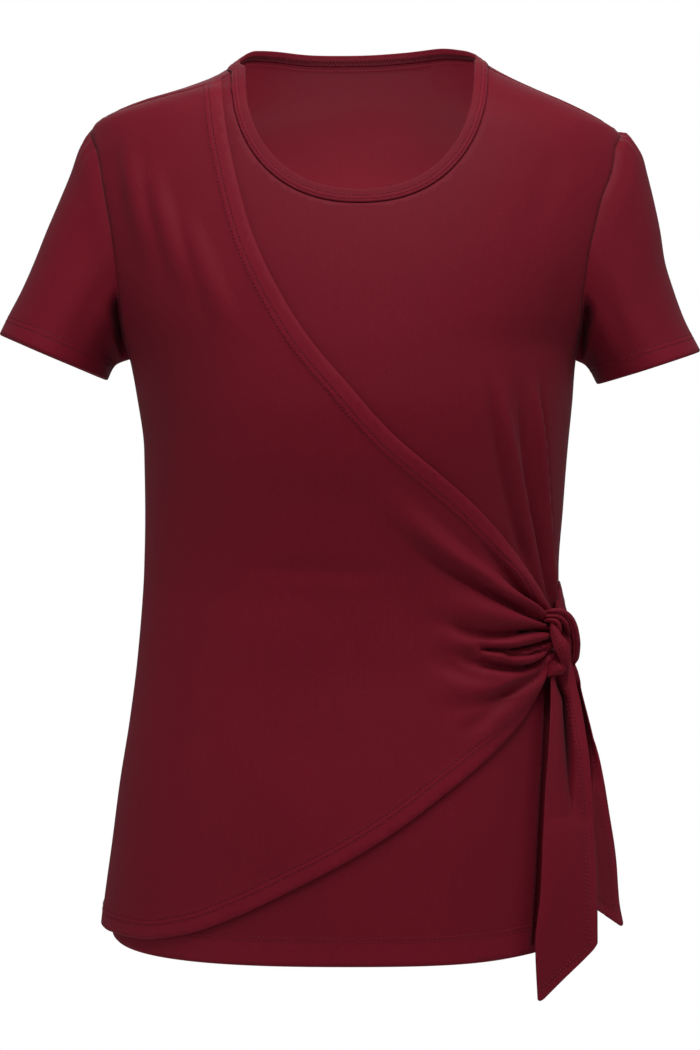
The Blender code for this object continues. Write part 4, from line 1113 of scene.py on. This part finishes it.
    def full_panel(
        self, finish: Jersey, spread: Spread, outline: dict[str, Array], mesh: tuple, marked: tuple, sheet: Sheet
    ) -> None:
        """Makes the full front or the full back, with its stitched hem.

        Args:
            finish: what it is made of, named as its solid.
            spread: how it lies.
            outline: the lines that bound it, in order.
            mesh: spacing of its points, and the part with a spacing of its own.
            marked: the seams that show as lines of painted shade.
            sheet: what is said of it.
        """
        name, hem, closed = finish.name, outline["hem"], joined(*outline.values())
        places, faces = filled(closed, *mesh)
        marks = surface_marks(places, (hem,), marked)
        low = spread.inner(places)
        normals = point_normals(low, faces)
        under = low - normals * turn_up(marks["edge"], self.hem_rows[1] + PAST_ROWS)[:, None]
        piece = cloth(name + "_cloth", under, low + normals * CLOTH, faces, flat(places), marks)
        rows = [spread.row(hem, by, closed) for by in self.hem_rows]
        trims = [HEM_STITCH.rows(name + "_hem_stitches", rows)]
        stands_in(piece, finish, name)
        sheet.declare(trims)

    def build_front(self) -> Spread:
        """Makes the full front with its hem, and tells how it lies."""
        outline = {k: line for k, line in self.lines.items() if k not in ("upper", "gather", "lower")}
        seams = tuple(line for k, line in outline.items() if k not in ("hem", "neck"))
        layered = tuple(outline[k] for k in ("outer", "right_arm", "side_high"))
        spread = Spread(0.0, self.front_folds, seams, layered, (outline["inner"],))
        finish = Jersey("front", 0.97, self.hem_rows, groove=0.25)
        sheet = Sheet((0.48, 0.60), Held.DRAPED, 0.248)
        self.full_panel(finish, spread, outline, (self.front_step, self.beside_tail), seams, sheet)
        return spread

    def build_back(self) -> None:
        """Makes the full back, which reaches over the shoulders to the shoulder seams."""
        outer, inner = (piece + (4, 0) for piece in CUT.shoulder(Side.RIGHT))
        left_outer, left_inner = CUT.shoulder(Side.LEFT)
        side_end = CUT.hem + CUT.hem_rise
        outline = {
            "hem": CUT.hem_line(1, 3),
            "right_side": seam_line([(3.0, side_end), (3.0, CUT.armholes[Side.RIGHT][-1][0])]),
            "right_arm": CUT.armhole(Side.RIGHT, True)[::-1],
            "outer": outer,
            "inner": inner,
            "nape": CUT.nape_line()[::-1],
            "left_inner": left_inner[::-1],
            "left_outer": left_outer[::-1],
            "left_arm": CUT.armhole(Side.LEFT, True),
            "left_side": seam_line([(1.0, CUT.armholes[Side.LEFT][-1][0]), (1.0, side_end)]),
        }
        marked = tuple(line for k, line in outline.items() if k != "hem")
        spread = Spread(0.0, self.back_folds, tuple(line for k, line in outline.items() if k not in ("hem", "nape")))
        finish = Jersey("back", 0.94, self.hem_rows, groove=0.25)
        self.full_panel(finish, spread, outline, (self.back_step,), marked, Sheet((0.48, 0.65), Held.DRAPED, 0.268))

    def build_wrap(self, front: Spread) -> None:
        """Makes the wrapped front, with its folds and its two turned edges."""
        lines = self.lines
        sewn = tuple(lines[k] for k in ("outer", "right_arm", "side_high"))
        spread = Spread(LAYER, self.wrap_folds, sewn, under=front, lift_at=self.knot_rise)
        outline = joined(lines["upper"][::-1], *sewn, lines["lower"][::-1], lines["gather"][::-1])
        places, faces = filled(outline, self.wrap_step, self.beside_knot)
        marks = surface_marks(places, (lines["upper"], lines["lower"]), (lines["gather"], *sewn))
        marks["edge"] = marks["edge"] / self.hem_width(places)
        low = spread.inner(places)
        normals = point_normals(low, faces)
        thick = CLOTH + self.wrap_turned * turn_up(marks["edge"], self.wrap_rows[1] + self.wrap_past)
        piece = cloth("wrap_cloth", low, low + normals * thick[:, None], faces, flat(places), marks)
        rows = []
        for line in (lines["upper"][::-1], lines["lower"][::-1]):
            for by in self.wrap_rows:
                points, out = spread.row(line, by * self.hem_width(line), outline)
                rows.append((points + out * self.wrap_turned * CLOTH, out))
        trims = [STITCH.rows("wrap_hem_stitches", rows)]
        stands_in(piece, Jersey("wrap", rows=self.wrap_rows), "overlay")
        Sheet((0.42, 0.62), Held.GATHERED, 0.145, ("front_cloth",)).declare(trims)


@dataclass(frozen=True)
class Sleeve:
    """A set-in short sleeve."""

    side: Side
    tilt: float  # how much lower the cuff hangs in front
    under: Table  # its lower edge as distance from the centre and height
    outer: Table  # its upper edge
    half_depth: float = 0.0560
    cuff_middle: float = -0.0030
    sunk: float = 0.0004  # how far its first ring lies inside the body
    ease: float = 0.0007  # height of the small waves at its head
    waves: int = 26
    sway: float = 0.0014
    fold: float = 0.0150  # depth of the fold below the arm
    drag: float = 0.0016  # depth of the soft line beside it
    rows: tuple[float, float] = (0.0100, 0.0135)
    round_it: int = 150
    rings: int = 52

    def build(self) -> None:
        """Makes the sleeve, from the armhole to its stitched cuff."""
        name = "sleeve_" + self.side.name.lower()
        angle = np.linspace(0, FULL_TURN, self.round_it, endpoint=False)
        share = np.linspace(0, 1, self.rings + 1)
        points = self.form(angle, share)
        points += self.drape(points, angle, share)
        edge = np.zeros(points.shape[:2])
        edge[:-1] = np.cumsum(np.linalg.norm(np.diff(points[::-1], axis=0), axis=2), axis=0)[::-1]
        girth = np.linalg.norm(np.diff(points, axis=1, append=points[:, :1]), axis=2).mean(axis=0)
        uv = np.stack(np.broadcast_arrays(np.cumsum(girth)[None], edge), axis=2).reshape(-1, 2)
        low = points.reshape(-1, 3)
        faces, normals = facing(low, grid_faces(self.rings + 1, self.round_it, True), low - low.mean(axis=0))
        marks = {"edge": np.minimum(edge.ravel(), FAR), "seam": np.minimum((edge[0] - edge).ravel(), FAR)}
        under = low - normals * turn_up(marks["edge"], self.rows[1] + PAST_ROWS)[:, None]
        over = low + normals * CLOTH
        piece = cloth(name + "_cloth", under, over, faces, uv, marks)
        grids = over.reshape(points.shape), normals.reshape(points.shape)
        lines = []
        for row in self.rows:
            c = np.arange(self.round_it)
            ring = np.array([np.interp(-row, -edge[:, k], range(self.rings + 1)) for k in c])
            r = ring.astype(int)
            t = (ring - r)[:, None]
            line = [grid[r, c] * (1 - t) + grid[r + 1, c] * t for grid in grids]
            lines.append(tuple(np.concatenate([values, values[:1]]) for values in line))
        trims = [STITCH.rows(name + "_stitches", lines)]
        stands_in(piece, Jersey(name, rows=self.rows), name)
        Sheet((0.33, 0.165), Held.DRAPED, 0.0335).declare(trims)

    def form(self, angle: Array, share: Array) -> Array:
        """The sleeve's rings of points, from the armhole's own form to an oval cuff."""
        half = self.round_it // 2
        seams = CUT.armhole(self.side, False, 0.001), CUT.armhole(self.side, True, 0.001)[::-1]
        stops = (np.linspace(0, len(seam) - 1, half + 1)[:-1] for seam in seams)
        turn, height = np.concatenate([sampled(s, np.arange(len(seam)), seam) for s, seam in zip(stops, seams)]).T
        root = FIGURE.raised(turn, height, -self.sunk)
        outer = spaced([root[0, [0, 2]], *self.outer], count=self.rings)
        lower = spaced([root[half, [0, 2]], *self.under], count=self.rings)
        near, far = root[:, 1].min(), root[:, 1].max()
        deep = (far - near) / 2 + (self.half_depth - (far - near) / 2) * share
        middle = (far + near) / 2 + (self.cuff_middle - (far + near) / 2) * share
        cos, sin = np.cos(angle), np.sin(angle)
        points = np.empty((len(share), self.round_it, 3))
        points[..., [0, 2]] = ((outer + lower) / 2)[:, None] + cos[:, None] * ((outer - lower) / 2)[:, None]
        points[..., 1] = middle[:, None] - sin * deep[:, None]
        points[..., 2] -= sin * self.tilt * share[:, None]
        return points + (root - points[0]) * ((1 - share) ** 2 * (1 + 2 * share))[:, None, None]

    def drape(self, points: Array, angle: Array, share: Array) -> Array:
        """Small moves of the sleeve's points: ease at its head and soft drag lines below it."""
        outward = points - points.mean(axis=1, keepdims=True)
        outward[..., 0] *= 0.6
        share = share[:, None]
        head = np.clip(np.cos(angle), 0, 1) ** 2
        ease = self.ease * np.sin(angle * self.waves) * head * smooth(share, 0, 0.03) * (1 - smooth(share, 0.05, 0.2))
        sway = self.sway * np.sin(angle * 3 + 0.8 + 2.2 * share) * smooth(share, 0.05, 0.6) * np.sin(angle) ** 2
        beside = smooth(share, 0.0, 0.08) * (1 - smooth(share, 0.13, 0.30))
        low = smooth(angle, 2.05, 2.35) * (1 - smooth(angle, 2.86, 3.10))
        drag = bump_at(angle, 1.9, 0.20) * smooth(share, 0.1, 0.4) * (1 - smooth(share, 0.6, 1.0))
        return unit(outward) * (ease + sway - self.fold * beside * low - self.drag * drag)[..., None]


@dataclass(frozen=True)
class Neckband:
    """The folded band round the neck, with twin rows of stitches and a cover stitch behind."""

    wide: float = 0.0100
    thick: float = 0.0022
    sunk: float = 0.0001  # how far its inner face lies below the figure
    rows: tuple[float, float] = (0.0022, 0.0050)
    round_it: int = 30
    first: int = 26  # the point of the round section that follows the turned-in edges
    # Its cut edges, turned under the body's cloth: across and up
    turned_in: Table = table("1 -0.3; 0 -0.4; -1.6 -0.4; -2 -0.7; -1.6 -1; 0 -1; 1.6 -0.8")
    zigzag: Place3 = (0.0044, 0.0027, 0.0011)  # the cover stitch's distance, half width and step
    zigzag_sunk: float = 0.0004
    behind: tuple[float, float] = (1.02, 2.98)  # the turns between which the cover stitch shows
    within: Place3 = (0.0, 0.0, 0.02)  # a place inside the neck

    def section(self) -> Array:
        """The band's section: across and up."""
        points = []
        for k in (*range(self.first, self.round_it), *range(self.first)):
            cos, sin = math.cos(FULL_TURN * k / self.round_it), math.sin(FULL_TURN * k / self.round_it)
            across = 0.5 - 0.5 * math.copysign(abs(cos) ** 0.35, cos)
            up = 0.5 + 0.5 * math.copysign(abs(sin) ** 0.6, sin)
            points.append((across * self.wide, up * self.thick - self.sunk))
        return np.array(points + list(self.turned_in))

    def build(self) -> None:
        """Makes the band and its sewing."""
        loop = joined(CUT.neck_line()[::-1], CUT.nape_line())
        turn, height = np.where(loop[:, 0] < 0, loop[:, 0] + 4, loop[:, 0]), loop[:, 1]
        seam, normal = FIGURE.at(turn, height), FIGURE.outward(turn, height)
        run = unit(np.roll(seam, -1, axis=0) - np.roll(seam, 1, axis=0))
        inward = np.cross(normal, run)
        inward *= np.sign(((np.array(self.within) - seam) * inward).sum(axis=1, keepdims=True))
        ring = self.section()
        rows, columns = len(seam), len(ring)
        points = seam[:, None] + inward[:, None] * (SEAM + ring[:, :1]) + normal[:, None] * ring[:, 1:]
        across, long = np.broadcast_arrays(ring[:, 0], lengths(seam)[:, None])
        marks = {"edge": across.ravel(), "seam": across.ravel(), "inner": np.zeros(rows * columns)}
        every = points.reshape(-1, 3)
        outward = every - np.repeat(points.mean(axis=1), columns, axis=0)
        faces, _ = facing(every, grid_faces(rows, columns, True, True), outward)
        uv = np.stack([across, long], axis=-1).reshape(-1, 2)
        piece = mesh_object("neckband_cloth", every, faces, uv, marks)
        seam2, inward2, normal2 = (np.concatenate([values, values[:1]]) for values in (seam, inward, normal))
        top = seam2 + normal2 * (self.thick - self.sunk)
        lines = [(top + inward2 * (SEAM + row), normal2) for row in self.rows]
        trims = [STITCH.rows("neckband_stitches", lines), self.cover_stitch(seam, inward, normal, turn)]
        stands_in(piece, Jersey("neckband", rows=self.rows), "neckband")
        Sheet((0.62, 0.0155), Held.FOLDED).declare(trims)

    def cover_stitch(self, seam: Array, inward: Array, normal: Array, turn: Array) -> bpy.types.Object:
        """The zigzag of thread inside the back neck."""
        away, half, step = self.zigzag
        behind = (turn > self.behind[0]) & (turn < self.behind[1])
        line = seam[behind] + inward[behind] * (SEAM + away) - normal[behind] * self.zigzag_sunk
        along = lengths(line)
        stops = np.arange(0, along[-1], step)
        middle, faced, cross = (sampled(stops, along, v) for v in (line, -normal[behind], inward[behind]))
        zig = middle + cross * np.where(np.arange(len(stops)) % 2, half, -half)[:, None]
        return COVER_STITCH.rods("nape_cover_stitch", zig[:-1], zig[1:], unit(faced[:-1]))


@dataclass(frozen=True)
class Tie:
    """The tie from the left side seam, which comes round into the knot."""

    # Turn, how far off at the bottom and at the top, height of the top and of the bottom
    form: Table = table("""
        1000 5 0.8 -349 -390; 950 7.2 1.3 -350.5 -390; 900 8 1.4 -355 -390.5; 860 8.2 1.6 -360.5 -391;
        825 8 2 -366.5 -392; 795 7.8 2.4 -371 -393""")
    along: int = 30
    across: int = 40
    pleats: int = 5
    deep: float = 0.0016
    bend: float = 1.8  # how late it leans back towards its upper edge

    def build(self) -> None:
        """Makes the tie with the small pleats that run into the knot."""
        along, across = np.linspace(0, 1, self.along)[:, None], np.linspace(0, 1, self.across)
        curve = through(np.linspace(0, 1, len(self.form)), np.array(self.form))
        turn, off_low, off_high, top, bottom = np.moveaxis(curve(along), -1, 0)
        off = off_low + (off_high - off_low) * across**self.bend
        height = bottom + (top - bottom) * across
        pleat = self.deep * np.sin(across * self.pleats * math.pi) ** 2 * smooth(along, 0, 1)
        turns = np.broadcast_to(turn, height.shape)
        points = FIGURE.raised(turns, height, off + pleat).reshape(-1, 3)
        outward = FIGURE.outward(turns, height).reshape(-1, 3)
        faces, normals = facing(points, grid_faces(self.along, self.across), outward)
        edge = np.minimum(1 - across, across) * (top - bottom)
        marks = {"edge": edge.ravel(), "seam": (np.abs(1 - turns) * GIRTH).ravel()}
        uv = np.stack([(turns * GIRTH).ravel(), height.ravel()], axis=1)
        piece = cloth("tie_cloth", points, points + normals * CLOTH, faces, uv, marks)
        stands_in(piece, Jersey("tie", 0.96, (0.006, 0.009), crumple=0.35), "tie_side")
        Sheet((0.050, 0.046), Held.GATHERED, 0.0016, ("front_cloth",)).declare()


@dataclass(frozen=True)
class Strap:
    """One turn of the knot: a flattened roll of cloth with pleats along it."""

    half_thick: float
    route: Table  # x, y, z and half width
    pleats: int = 5
    depth: float = 0.08
    blunt: float = 0.20  # how full its ends are
    taper: float = 7.0  # how fast it comes to its full size from there
    sewn: tuple[float, ...] = ()  # where rows of stitches lie, as shares of the half width
    twist: float = 1.5
    stitch_lift: float = 1.09  # how far out they lie, as a share of the half thickness
    long: float = 0.04  # its length on the flat pattern
    square: float = 0.7  # below 1 its section is squarer than an ellipse
    step: float = 0.0008
    sides: int = 44
    faces_from: Place3 = (0.1380, 0.0100, -0.3890)

    @cached_property
    def frames(self) -> tuple[Array, Array, Array, Array]:
        """The route's points and half widths, and the outward and sideways directions along it."""
        rows = spaced(self.route, self.step)
        line, wide = rows[:, :3], rows[:, 3:]
        run = unit(np.gradient(line, axis=0))
        out = line - np.array(self.faces_from)
        out = unit(out - run * (out * run).sum(axis=1, keepdims=True))
        return line, wide, out, np.cross(run, out)

    def stitch_lines(self) -> list[tuple[Array, Array]]:
        """The rows of stitches along the roll's face, with its outward directions."""
        line, wide, out, side = (values[3:-3] for values in self.frames)
        return [(line + side * wide * at + out * self.half_thick * self.stitch_lift, out) for at in self.sewn]

    def parts(self) -> tuple[Array, Array, Array]:
        """Points, faces and flat places of the roll."""
        line, wide, out, side = self.frames
        share = np.linspace(0, 1, len(line))[:, None]
        ends = np.sqrt(np.clip(self.blunt + self.taper * np.minimum(share, 1 - share), 0, 1))
        angle = np.linspace(0, FULL_TURN, self.sides, endpoint=False)[None]
        size = ends * (1 + self.depth * np.cos(angle * self.pleats + self.twist * share))
        flatter = np.sign(np.sin(angle)) * np.abs(np.sin(angle)) ** self.square
        ring = out[:, None] * (np.cos(angle) * self.half_thick * size)[..., None]
        ring = ring + side[:, None] * (flatter * wide * size)[..., None]
        points = np.concatenate([(line[:, None] + ring).reshape(-1, 3), line[:1], line[-1:]])
        k = np.arange(self.sides)
        after, last, tip = (k + 1) % self.sides, (len(line) - 1) * self.sides, len(points) - 2 + 0 * k
        caps = [np.stack([tip, after, k], axis=1), np.stack([tip + 1, last + k, last + after], axis=1)]
        uv = np.stack(np.broadcast_arrays(angle * wide, share * self.long), axis=2).reshape(-1, 2)
        faces = np.concatenate([grid_faces(len(line), self.sides, True), *caps])
        return points, faces, np.concatenate([uv, [[0, 0], [0, self.long]]])


@dataclass(frozen=True)
class Knot:
    """The knot at the waist: straps of cloth round a core."""

    centre: Place3 = (0.1425, -0.0500, -0.3895)
    radii: Place3 = (0.0066, 0.0085, 0.0150)
    rows: int = 24
    columns: int = 36
    pole: float = 0.02  # how far its first and last rows stay from its poles
    straps: tuple[Strap, ...] = (
        Strap(0.0036, pleats=6, depth=0.1, route=table("""
            128.2 -60 -370.5 1.8; 132.6 -61.8 -369.4 2.1; 138.1 -62 -369.2 2.3; 143.5 -60 -371.5 2.6;
            147.7 -57 -376.8 2.9; 149.9 -54.5 -383.5 3; 151.2 -51 -392.7 3; 151 -48 -399.8 2.8;
            148.7 -45 -407.7 2.2""")),
        Strap(0.0028, pleats=4, depth=0.08, route=table("""
            128.1 -61.2 -373 1.5; 132.5 -63.2 -372.5 1.8; 137.3 -64 -372.8 1.9; 142.1 -62.8 -375.9 2;
            144.5 -60.2 -380.5 1.9; 145.7 -55.5 -386.3 1.4""")),
        Strap(0.0026, pleats=3, depth=0.06, route=table("""
            128.4 -61.5 -375.6 1.4; 132.4 -64.2 -375.1 1.7; 136.1 -65.8 -375.6 1.8; 138.6 -65.5 -379 1.8;
            139.2 -63 -383.9 1.4""")),
        Strap(0.0026, depth=0.07, sewn=(-0.12, 0.34), route=table("""
            133.2 -62.5 -375.6 1.8; 134.8 -65.5 -380.4 2.6; 136.7 -67.5 -386.5 3.8; 140.1 -68.5 -393.4 5;
            142.5 -67.2 -399.7 4.4; 143.9 -64.5 -406.8 2.6; 144.9 -60 -413.9 1.2""")),
        Strap(0.0013, pleats=4, depth=0.16, blunt=0.8, sewn=(0.0,), route=table("""
            131.6 -56 -400.5 5; 133 -61 -404 5.8; 135 -65 -407.8 6.2; 136.9 -66.8 -410.6 6.3;
            137.7 -64 -412.4 6.2""")),
    )

    def core(self) -> tuple[Array, Array, Array]:
        """Points, faces and flat places of the core."""
        polar = np.linspace(self.pole, math.pi - self.pole, self.rows)[:, None]
        around = np.linspace(0, FULL_TURN, self.columns, endpoint=False)[None]
        flat_ball = np.sin(polar) * np.cos(around), np.sin(polar) * np.sin(around), np.cos(polar) + 0 * around
        points = (np.array(self.centre) + np.stack(flat_ball, -1) * self.radii).reshape(-1, 3)
        uv = np.stack(np.broadcast_arrays(around * 0.01, polar * 0.016), -1).reshape(-1, 2)
        return points, grid_faces(self.rows, self.columns, True)[:, ::-1], uv

    def build(self) -> None:
        """Makes the knot's rolls as one piece."""
        points, faces, places = zip(*(strap.parts() for strap in self.straps), self.core())
        starts = np.cumsum([0, *(len(p) for p in points)])
        every = np.concatenate(points)
        marks = {"edge": np.full(len(every), FAR), "seam": np.full(len(every), FAR)}
        numbered = np.concatenate([f + start for f, start in zip(faces, starts)])
        piece = mesh_object("knot_cloth", every, numbered, np.concatenate(places), marks)
        stands_in(piece, Jersey("knot", crumple=0.55), "knot")
        STITCH.rows("knot_stitches", [line for strap in self.straps for line in strap.stitch_lines()])


@dataclass(frozen=True)
class Tail:
    """A hanging tail of the knot, folded once along its length."""

    name: str
    cut: tuple[float, float]
    area: float
    # Right-hand and left-hand edge as x, y, z, then where the fold lies across and how deep it is
    form: Table
    across: int = 64
    down: int = 150
    rows: tuple[float, float] = (0.0070, 0.0092)
    sharpness: Place3 = (7.0, 5.0, 0.7)  # of a fold's right and left side, and of both where it stands out
    wave: float = 0.0016
    corner: float = 0.0034  # radius of its lower corners
    about_wide: float = 0.030
    from_end: float = 0.002  # how far the rows across it stop short of its fold

    def build(self) -> None:
        """Makes the tail with its stitched edges."""
        form = np.array(self.form)
        chord = lengths(form[:, :3])
        across, stops = np.meshgrid(np.linspace(0, 1, self.across + 1), np.linspace(0, chord[-1], self.down))
        across, stops = self.rounded(across, stops, chord[-1])
        rows = through(chord, form)(stops)
        start, end, (at, fold) = rows[..., :3], rows[..., 3:6], np.moveaxis(rows[..., 6:], -1, 0)
        on_right, hang = across < at, stops / chord[-1]
        side = np.where(on_right, across / at, (1 - across) / (1 - at))
        right, left, proud = self.sharpness
        dent = fold * np.clip(side, 0, 1) ** np.where(fold < 0, proud, np.where(on_right, right, left))
        dent += self.wave * np.sin(across * 7 + 5 * hang) * smooth(hang, 0.2, 0.9) * (1 - 0.5 * hang)
        points = start + (end - start) * across[..., None]
        points[..., 1] += dent
        wide = np.linalg.norm(end - start, axis=2)
        below = chord[-1] - stops
        marks = {"edge": np.minimum((1 - across) * wide, below).ravel(), "seam": np.full(wide.size, FAR)}
        uv = np.stack([(across * wide).ravel(), stops.ravel()], axis=1)
        low = points.reshape(-1, 3)
        faces = grid_faces(self.down, self.across + 1)[:, ::-1]
        normals = point_normals(low, faces)
        over = low + normals * CLOTH
        piece = cloth(self.name + "_cloth", low, over, faces, uv, marks)
        lines = self.sewing(over.reshape(points.shape), normals.reshape(points.shape), wide[:, 0], below)
        trims = [HEM_STITCH.rows(self.name + "_stitches", lines)]
        stands_in(piece, Jersey(self.name, rows=self.rows), self.name)
        Sheet(self.cut, Held.HUNG, self.area, ("knot_cloth",)).declare(trims)

    def rounded(self, across: Array, stops: Array, long: float) -> tuple[Array, Array]:
        """Places across and along the tail, drawn in at its two lower corners.

        Args:
            across: each point's share across.
            stops: each point's distance along.
            long: the tail's length.

        Returns:
            The moved places.
        """
        from_side = np.minimum(across, 1 - across)
        a = np.maximum(self.corner - from_side * self.about_wide, 0)
        b = np.maximum(self.corner - (long - stops), 0)
        away = np.hypot(a, b)
        share = np.where(away > self.corner, self.corner / np.maximum(away, 1e-9), 1.0)
        moved = from_side + a * (1 - share) / self.about_wide
        return np.where(across < 0.5, moved, 1 - moved), stops - b * (1 - share)

    def sewing(self, outer: Array, normals: Array, wide: Array, below: Array) -> list[tuple[Array, Array]]:
        """The rows of stitches along the turned edges.

        Args:
            outer: the outer face's points, row by row down the tail.
            normals: the cloth's outward directions there.
            wide: the tail's width at each row.
            below: how far each point lies above the lower edge.

        Returns:
            Each row's points and directions.
        """
        lines = []
        middle, c = below[:, self.across // 2], np.arange(self.across + 1) / self.across
        for row in self.rows:
            kept = np.flatnonzero((middle > row) & (row / wide < 0.45))
            column = (1 - row / wide[kept]) * self.across
            low = np.minimum(column.astype(int), self.across - 1)
            t = (column - low)[:, None]
            lines.append(tuple(g[kept, low] * (1 - t) + g[kept, low + 1] * t for g in (outer, normals)))
            r = int(np.argmin(np.abs(middle - row)))
            kept = ((1 - c) * wide[r] > row) & (c * wide[r] > self.from_end)
            lines.append((outer[r][kept], normals[r][kept]))
        return lines


@dataclass(frozen=True)
class Light:
    """A square soft light."""

    name: str
    at: Place3
    towards: Place3
    size: float
    power: float  # in watts

    def build(self) -> None:
        """Adds it to the scene."""
        data = bpy.data.lights.new(self.name, "AREA")
        data.size = self.size
        data.energy = self.power
        made = bpy.data.objects.new(self.name, data)
        made.location = self.at
        made.visible_camera = False
        made.rotation_euler = (Vector(self.towards) - Vector(self.at)).to_track_quat("-Z", "Y").to_euler()
        bpy.context.scene.collection.objects.link(made)


@dataclass(frozen=True)
class Studio:
    """A white cove with a large soft light above the front, fills at the sides, and the camera."""

    camera_at: Place3 = (-0.0064, -2.2, -0.3089)
    lens: float = 105.5
    sensor: float = 36.0
    floor_height: float = -1.40
    floor_radius: float = 2.2
    floor_grey: float = 0.86
    shown: float = 1.0  # brightness of the background that is seen
    glow: float = 0.17  # and of the one that lights the cloth
    lights: tuple[Light, ...] = (
        Light("key", (0.11, -0.80, 1.30), (0.0, 0.0, -0.08), 1.1, 28.5),
        Light("front_fill", (0.0, -2.9, 0.5), (0.0, 0.0, -0.25), 2.0, 6.0),
        Light("right_fill", (-1.9, -1.2, -0.40), (0.0, 0.0, -0.25), 1.4, 6.2),
        Light("left_fill", (1.9, -1.2, 0.15), (0.0, 0.0, -0.20), 1.4, 4.8),
        Light("back_fill", (0.0, 2.2, 0.6), (0.0, 0.0, -0.30), 1.8, 16.0),
        Light("inside_fill", (0.0, -0.03, -0.20), (0.0, 0.085, -0.02), 0.08, 0.44),
    )

    def build(self) -> None:
        """Sets the camera, floor, world and lights."""
        scene = bpy.context.scene
        scene.view_settings.view_transform = "Standard"
        scene.view_settings.look = "None"
        data = bpy.data.cameras.new("camera")
        data.lens = self.lens
        data.sensor_fit = "VERTICAL"
        data.sensor_height = data.sensor_width = self.sensor
        camera = bpy.data.objects.new("camera", data)
        camera.location = self.camera_at
        camera.rotation_euler = (math.pi / 2, 0, 0)
        scene.collection.objects.link(camera)
        scene.camera = camera
        self.floor()
        self.world()
        for light in self.lights:
            light.build()

    def floor(self) -> None:
        """A pale disc far below the garment."""
        angles = np.linspace(0, FULL_TURN, 96, endpoint=False)
        radius = self.floor_radius
        points = [(radius * math.cos(a), radius * math.sin(a), self.floor_height) for a in angles]
        data = bpy.data.meshes.new("floor")
        data.from_pydata(points, [], [list(range(len(points)))])
        made = bpy.data.objects.new("floor", data)
        bpy.context.scene.collection.objects.link(made)
        material, tree = Tree.of_material("pale_floor")
        shader = tree.put("BsdfPrincipled", Roughness=0.9)
        shader.inputs["Base Color"].default_value = (*[self.floor_grey] * 3, 1)
        tree.put("OutputMaterial", Surface=shader.outputs[0])
        data.materials.append(material)

    def world(self) -> None:
        """A white background that lights the cloth softly."""
        world = bpy.data.worlds.new("cove")
        bpy.context.scene.world = world
        world.use_nodes = True
        world.node_tree.nodes.clear()
        tree = Tree(world.node_tree)
        seen_by_camera = tree.put("LightPath").outputs["Is Camera Ray"]
        white = (1, 1, 1, 1)
        seen, lit = (tree.put("Background", Color=white, Strength=strength) for strength in (self.shown, self.glow))
        mix = tree.put("MixShader", i0=seen_by_camera, i1=lit.outputs[0], i2=seen.outputs[0])
        tree.put("OutputWorld", Surface=mix.outputs[0])


SLEEVES = (
    Sleeve(Side.RIGHT, 0.0003, table("-174.2 -193.8; -180.6 -204.5"), table("""
        -194 -33.6; -202 -55.1; -211 -76.5; -220.3 -98; -229 -119.4; -238.6 -140.9; -249.8 -162.3; -255 -173""")),
    Sleeve(Side.LEFT, 0.002, table("162.2 -193.8; 171 -207.5"), table("""
        188.4 -29; 193.8 -34.5; 199 -42.8; 202.4 -55.1; 207.8 -76.5; 212.5 -98; 216 -119.4; 222.6 -140.9;
        230.6 -162.3; 242.1 -184.5""")),
)
TAILS = (
    Tail("tail_front", (0.05, 0.24), 0.0105, table("""
        135 -59 -403 147.5 -50 -403 300 3; 133.3 -62 -411 149 -53 -411 160 6;
        132.8 -65.5 -420 150.8 -56 -420.5 250 20; 132.5 -69 -431.6 153.5 -58 -432.4 450 27;
        131.5 -75.5 -447.3 156 -61 -448.2 460 30; 130.2 -81 -465.6 158.6 -65 -466.7 480 25;
        127.8 -87 -489.9 160.7 -67 -491.3 520 10; 125.9 -93 -524.2 162.2 -69 -526 660 -4;
        124.2 -97 -560 163.2 -72 -550 680 -5; 120.3 -99.5 -596 163.6 -75 -576 680 -4;
        121.8 -100 -635.5 163.7 -77 -598.9 680 -2""")),
    Tail("tail_back", (0.05, 0.185), 0.0062, table("""
        140 -42 -405 149.4 -38 -403 500 -1; 144 -38 -415 153.3 -35 -412 500 -1;
        155 -12 -431.6 158 -33.5 -430.7 500 -2; 158.2 -8 -454 164 -33 -454 500 -3;
        159.8 -16 -480 170.2 -32.5 -481.7 450 -8; 156 -48 -508.9 175.7 -30 -512.2 350 -1;
        152 -63 -535 180.8 -26 -545.6 500 1.4; 154 -64.5 -556 183 -25.5 -575 500 1;
        156 -65 -570 186.5 -25 -593.5 500 1""")),
)


def main() -> None:
    """Builds and dresses every piece, then the studio."""
    logging.basicConfig(level=logging.INFO, format="%(name)s: %(message)s")
    for make in (knit_group, sewing_group, tone_group):
        make()
    bodice = Bodice()
    bodice.build_wrap(bodice.build_front())
    bodice.build_back()
    for piece in (*SLEEVES, Neckband(), Tie(), Knot(), *TAILS):
        piece.build()
    Studio().build()


if __name__ == "__main__":
    main()
